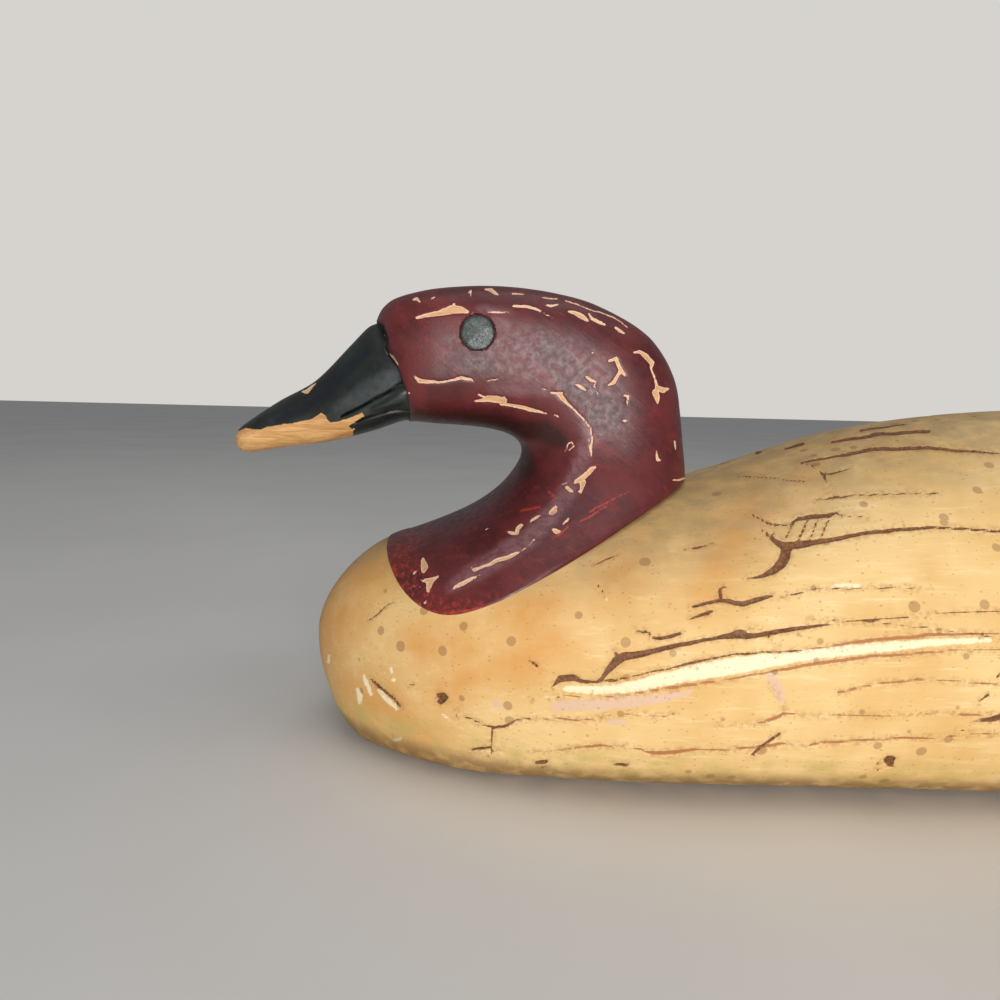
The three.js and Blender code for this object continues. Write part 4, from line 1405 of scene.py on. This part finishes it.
@dataclass
class HeadPiece:
    """The head with its bill cuts, eye sockets, flaked paint and filler."""

    form: HeadBlock
    chip_depth: float = 0.22
    cut_depth: float = 1.1
    lump_height: float = 0.7
    valley_depth: float = 0.7
    chin_depth: float = 0.35
    unevenness: float = 0.2
    warp_size: float = 3.0
    warp: float = 0.2
    border_reach: float = 3.0

    def _border(self, rings: np.ndarray, place: np.ndarray) -> np.ndarray:
        """Rings moved along X so that the bill ends on its painted border.

        The move at a height is the gap between the border drawn for it and the bill's last
        ring. It fades out over the last rings of the bill and the first of the head.
        """
        end = int(np.searchsorted(place, 1.0, side="right")) - 1
        ring = rings[end - 1, : self.form.near_points]
        drawn = SIGHTING.places(ring)
        order = np.argsort(drawn[:, 1])
        border = SIGHTING.drawn(np.array(BILL_BORDER))[::-1]
        order_border = np.argsort(border[:, 1], kind="stable")
        spots = SIGHTING.places(rings.reshape(-1, 3))
        goal = np.interp(spots[:, 1], border[order_border, 1], border[order_border, 0])
        have = np.interp(spots[:, 1], drawn[order, 1], drawn[order, 0])
        fade = ease(place, 0.86, 1.0) * (1.0 - ease(place, 1.0, 1.07))
        side = ease(np.abs(rings[:, :, 1]), 3.0, 10.0)
        gap = np.clip(goal - have, -self.border_reach, self.border_reach)
        move = gap.reshape(rings.shape[:2]) * fade[:, None] * side
        moved = rings.copy()
        moved[:, :, 0] += move
        return moved

    def _sockets(self, points: np.ndarray) -> np.ndarray:
        """Depth of the eye sockets at each point: a flat-bottomed round hole on both sides."""
        gap = np.hypot(points[:, 0] - self.form.eye_x, points[:, 2] - self.form.eye_z)
        edge = self.form.socket_radius
        return self.form.socket_depth * (1.0 - ease(gap, edge - 0.25, edge + 0.05))

    def build(self, effects: Effects) -> bpy.types.Object:
        """Make the piece and its finish."""
        skin, place = self.form.skin()
        skin.rings = self._border(skin.rings, place)
        points = skin.rings.reshape(-1, 3)
        normals = skin.normals().reshape(-1, 3)
        far_side = points[:, 1] > 0
        along = np.repeat(place, skin.rings.shape[1])
        warp = np.stack([lattice_noise(points, self.warp_size, seed) for seed in (7, 8)], axis=1)
        clean = SIGHTING.places(points)
        places = clean + self.warp * warp
        chips = SIGHTING.strokes(HEAD_CHIPS)
        chip = inside_strokes(places, chips)
        others = inside_strokes(places, reused(chips, 31, 0.6, (0.0, 0.0), (9.0, 5.0)))
        chip = np.where(far_side, others, chip)
        on_bill = along <= 1.0
        cut = inside_strokes(clean, SIGHTING.strokes(BILL_MOUTH + BILL_LOWER_CUT))
        cut = np.where(on_bill | (along < 1.05), cut, -9.0)
        chin = np.where(on_bill, inside_strokes(clean, SIGHTING.strokes(BILL_CHIN_LINE)), -9.0)
        lump = ease(inside_strokes(clean, SIGHTING.strokes(BILL_LUMP)), -0.8, 1.4) * on_bill
        valley = ease(inside_strokes(clean, SIGHTING.strokes(BILL_VALLEY)), -1.6, 1.2) * on_bill
        # Painted highlight on the side of the bill.
        bill_sheen = ease(inside_strokes(clean, SIGHTING.strokes(BILL_SHEEN)), -2.0, 1.5) * on_bill
        bare = np.where(on_bill, inside_outline(clean, SIGHTING.drawn(np.array(BARE_BILL))), -9.0)
        scratch = np.where(far_side, -9.0, inside_strokes(places, SIGHTING.strokes(HEAD_SCRATCHES)))
        # Painted highlight along the neck and cheek ridges.
        sheen_mask = ease(inside_strokes(clean, SIGHTING.strokes(HEAD_SHEEN)), -2.5, 1.0)
        # Painted shade under the jaw and in the throat.
        jaw_shade = ease(inside_strokes(clean, SIGHTING.strokes(HEAD_JAW_SHADE)), -2.5, 1.5) * ~on_bill
        uneven = 0.6 * lattice_noise(points, 16.0, 3) + 0.4 * lattice_noise(points, 5.0, 4) + 1.0
        depth = self.unevenness * uneven / 2 * (along < 1.96)
        depth += self.chip_depth * ease(chip, -0.15, 0.3) + self.cut_depth * ease(cut, -0.35, 0.5)
        depth += self.chin_depth * ease(chin, -0.3, 0.3)
        depth += self.valley_depth * valley - self.lump_height * lump
        depth += self._sockets(points) * (~on_bill)
        skin.rings = (points - depth[:, None] * normals).reshape(skin.rings.shape)
        rim = points[:, 2] - self.form.body.dome(points[:, 0], points[:, 1])
        hem = ease(-rim, -2.4, -0.5) * ease(-points[:, 0], 108.0, 122.0) * (along > 1.5)
        layers = {
            "chip": chip,
            "scratch": scratch,
            "sheen_mask": sheen_mask,
            "jaw_shade": jaw_shade,
            "bill": np.where(on_bill, 1.0, -1.0),
            "bare": bare,
            # Hollow of the bill, which also places its painted shade.
            "valley": valley,
            "bill_sheen": bill_sheen,
            # Where the cuts lie, which the finish darkens with painted shade.
            "cut": ease(cut, -0.3, 0.3),
            "hem": hem,
        }
        made = put_mesh("head_skin", skin, layers)
        made.data.materials.append(HeadPaint().build(effects))
        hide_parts("head")
        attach(made, ROOT)
        return made


@dataclass
class EyePiece:
    """Round eye set into its socket: a disc whose face is cut in shallow, uneven planes."""

    side: Side
    x: float = HeadBlock.eye_x
    z: float = HeadBlock.eye_z
    back: float = 23.8
    radius: float = 5.8
    rim: float = 1.55
    crown: float = 0.45
    spokes: int = 96
    rounds: int = 26
    crease: float = 30.0

    def _face(self, r: np.ndarray, angle: np.ndarray) -> np.ndarray:
        """Height of the face over the rim: a low dome less the deepest of seven tilted planes."""
        tilts = np.radians([15.0, 70.0, 128.0, 180.0, 231.0, 283.0, 334.0])
        lean = np.array([0.05, 0.075, 0.045, 0.07, 0.05, 0.08, 0.055])
        planes = lean[:, None, None] * r * np.cos(angle - tilts[:, None, None])
        return self.crown - np.max(planes, axis=0)

    def build(self, paint: bpy.types.Material) -> bpy.types.Object:
        """Make the piece."""
        angle = np.linspace(0, 2 * math.pi, self.spokes, endpoint=False)[None, :]
        inner = np.linspace(0.05, 0.96, self.rounds)[::-1, None] * self.radius
        face = self.rim + self._face(inner, angle) * ease(self.radius - inner, 0.0, 0.9)
        r = np.concatenate([[[0.6 * self.radius], [self.radius], [self.radius], [self.radius]], inner])
        edge = np.array([[0.0], [0.0], [self.rim - 0.5], [self.rim - 0.12]]) * np.ones_like(angle)
        height = np.concatenate([edge, face])
        sign = self.side.value
        rings = np.stack(
            [
                self.x + r * np.cos(angle),
                sign * (self.back + height),
                self.z + r * np.sin(angle),
            ],
            axis=2,
        )
        first = np.array([self.x, sign * self.back, self.z])
        last = np.array([self.x, sign * (self.back + self.rim + self.crown), self.z])
        near = self.side is Side.NEAR
        made = put_mesh("eye_near" if near else "eye_far", Skin(rings, first, last), {}, self.crease)
        made.data.materials.append(paint)
        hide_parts("eye_left" if near else "eye_right")
        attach(made, ROOT)
        return made


@dataclass
class Studio:
    """Camera, lights and floor. Places in metres."""

    film: float = 36.0
    floor_size: float = 12.0
    floor_drop: float = 0.0004
    aim: tuple[float, float, float] = (-0.04, 0.0, 0.07)
    sky: float = 0.28
    sky_tint: Colour = tint(236, 238, 242)
    wall_tint: Colour = tint(214, 211, 207)

    def camera(self) -> bpy.types.Object:
        """Camera at the sighting point, which looks along +Y, tipped down and turned as it is."""
        pitch, roll = math.radians(SIGHTING.pitch), math.radians(SIGHTING.roll)
        spot = Vector((SIGHTING.x, -SIGHTING.reach, SIGHTING.z)) * MM
        ahead = Vector((0.0, math.cos(pitch), -math.sin(pitch)))
        up = Vector((0.0, math.sin(pitch), math.cos(pitch)))
        right = Vector((1.0, 0.0, 0.0))
        across = math.cos(roll) * right + math.sin(roll) * up
        above = math.cos(roll) * up - math.sin(roll) * right
        turn = Matrix((across, above, -ahead)).transposed().to_4x4()
        data = bpy.data.cameras.new("camera")
        data.lens = self.film * SIGHTING.focus / SIGHTING.picture
        data.clip_start = 0.01
        made = bpy.data.objects.new("camera", data)
        made.matrix_world = Matrix.Translation(spot) @ turn
        bpy.context.scene.collection.objects.link(made)
        bpy.context.scene.camera = made
        return made

    def lamp(self, name: str, place: tuple[float, float, float], size: float, power: float) -> None:
        """Square soft light that faces the decoy's head.

        Args:
            name: Name of the light.
            place: Where it stands.
            size: Edge of the square.
            power: Its power in watts.
        """
        data = bpy.data.lights.new(name, "AREA")
        data.size = size
        data.energy = power
        made = bpy.data.objects.new(name, data)
        made.location = place
        made.rotation_euler = (Vector(self.aim) - Vector(place)).to_track_quat("-Z", "Y").to_euler()
        bpy.context.scene.collection.objects.link(made)

    def floor(self) -> bpy.types.Object:
        """Square floor just under the decoy."""
        half = self.floor_size / 2
        mesh = bpy.data.meshes.new("floor")
        square = ((-half, -half), (half, -half), (half, half), (-half, half))
        corners = [(x, y, -self.floor_drop) for x, y in square]
        mesh.from_pydata(corners, [], [(0, 1, 2, 3)])
        mesh.materials.append(FloorFinish().build())
        made = bpy.data.objects.new("floor", mesh)
        bpy.context.scene.collection.objects.link(made)
        return made

    def build(self) -> None:
        """Set up everything round the decoy."""
        scene = bpy.context.scene
        scene.view_settings.view_transform = "Standard"
        world = bpy.data.worlds.new("studio")
        world.use_nodes = True
        tree = world.node_tree
        light = tree.nodes["Background"]
        light.inputs[0].default_value = (*self.sky_tint, 1.0)
        light.inputs[1].default_value = self.sky
        wall = tree.nodes.new("ShaderNodeBackground")
        wall.inputs[0].default_value = (*self.wall_tint, 1.0)
        seen = tree.nodes.new("ShaderNodeLightPath")
        mixed = tree.nodes.new("ShaderNodeMixShader")
        tree.links.new(seen.outputs["Is Camera Ray"], mixed.inputs[0])
        tree.links.new(light.outputs[0], mixed.inputs[1])
        tree.links.new(wall.outputs[0], mixed.inputs[2])
        tree.links.new(mixed.outputs[0], tree.nodes["World Output"].inputs[0])
        scene.world = world
        self.camera()
        self.floor()
        self.lamp("key", (-0.02, -0.82, 0.13), 0.3, 5.2)
        self.lamp("top", (0.1, -0.2, 1.4), 1.2, 5.0)


def main() -> None:
    """Build the studio and the decoy's pieces in order."""
    logging.basicConfig(level=logging.INFO, format="%(name)s: %(message)s")
    Studio().build()
    effects = Effects()
    body = BodyBlock()
    eyes = EyePaint().build()
    made = [BodyPiece(body).build(effects), HeadPiece(HeadBlock(body)).build(effects)]
    made += [EyePiece(side).build(eyes) for side in Side]
    for piece in made:
        piece.data.calc_loop_triangles()
        LOG.info("%s: %d triangles", piece.name, len(piece.data.loop_triangles))


if __name__ == "__main__":
    main()
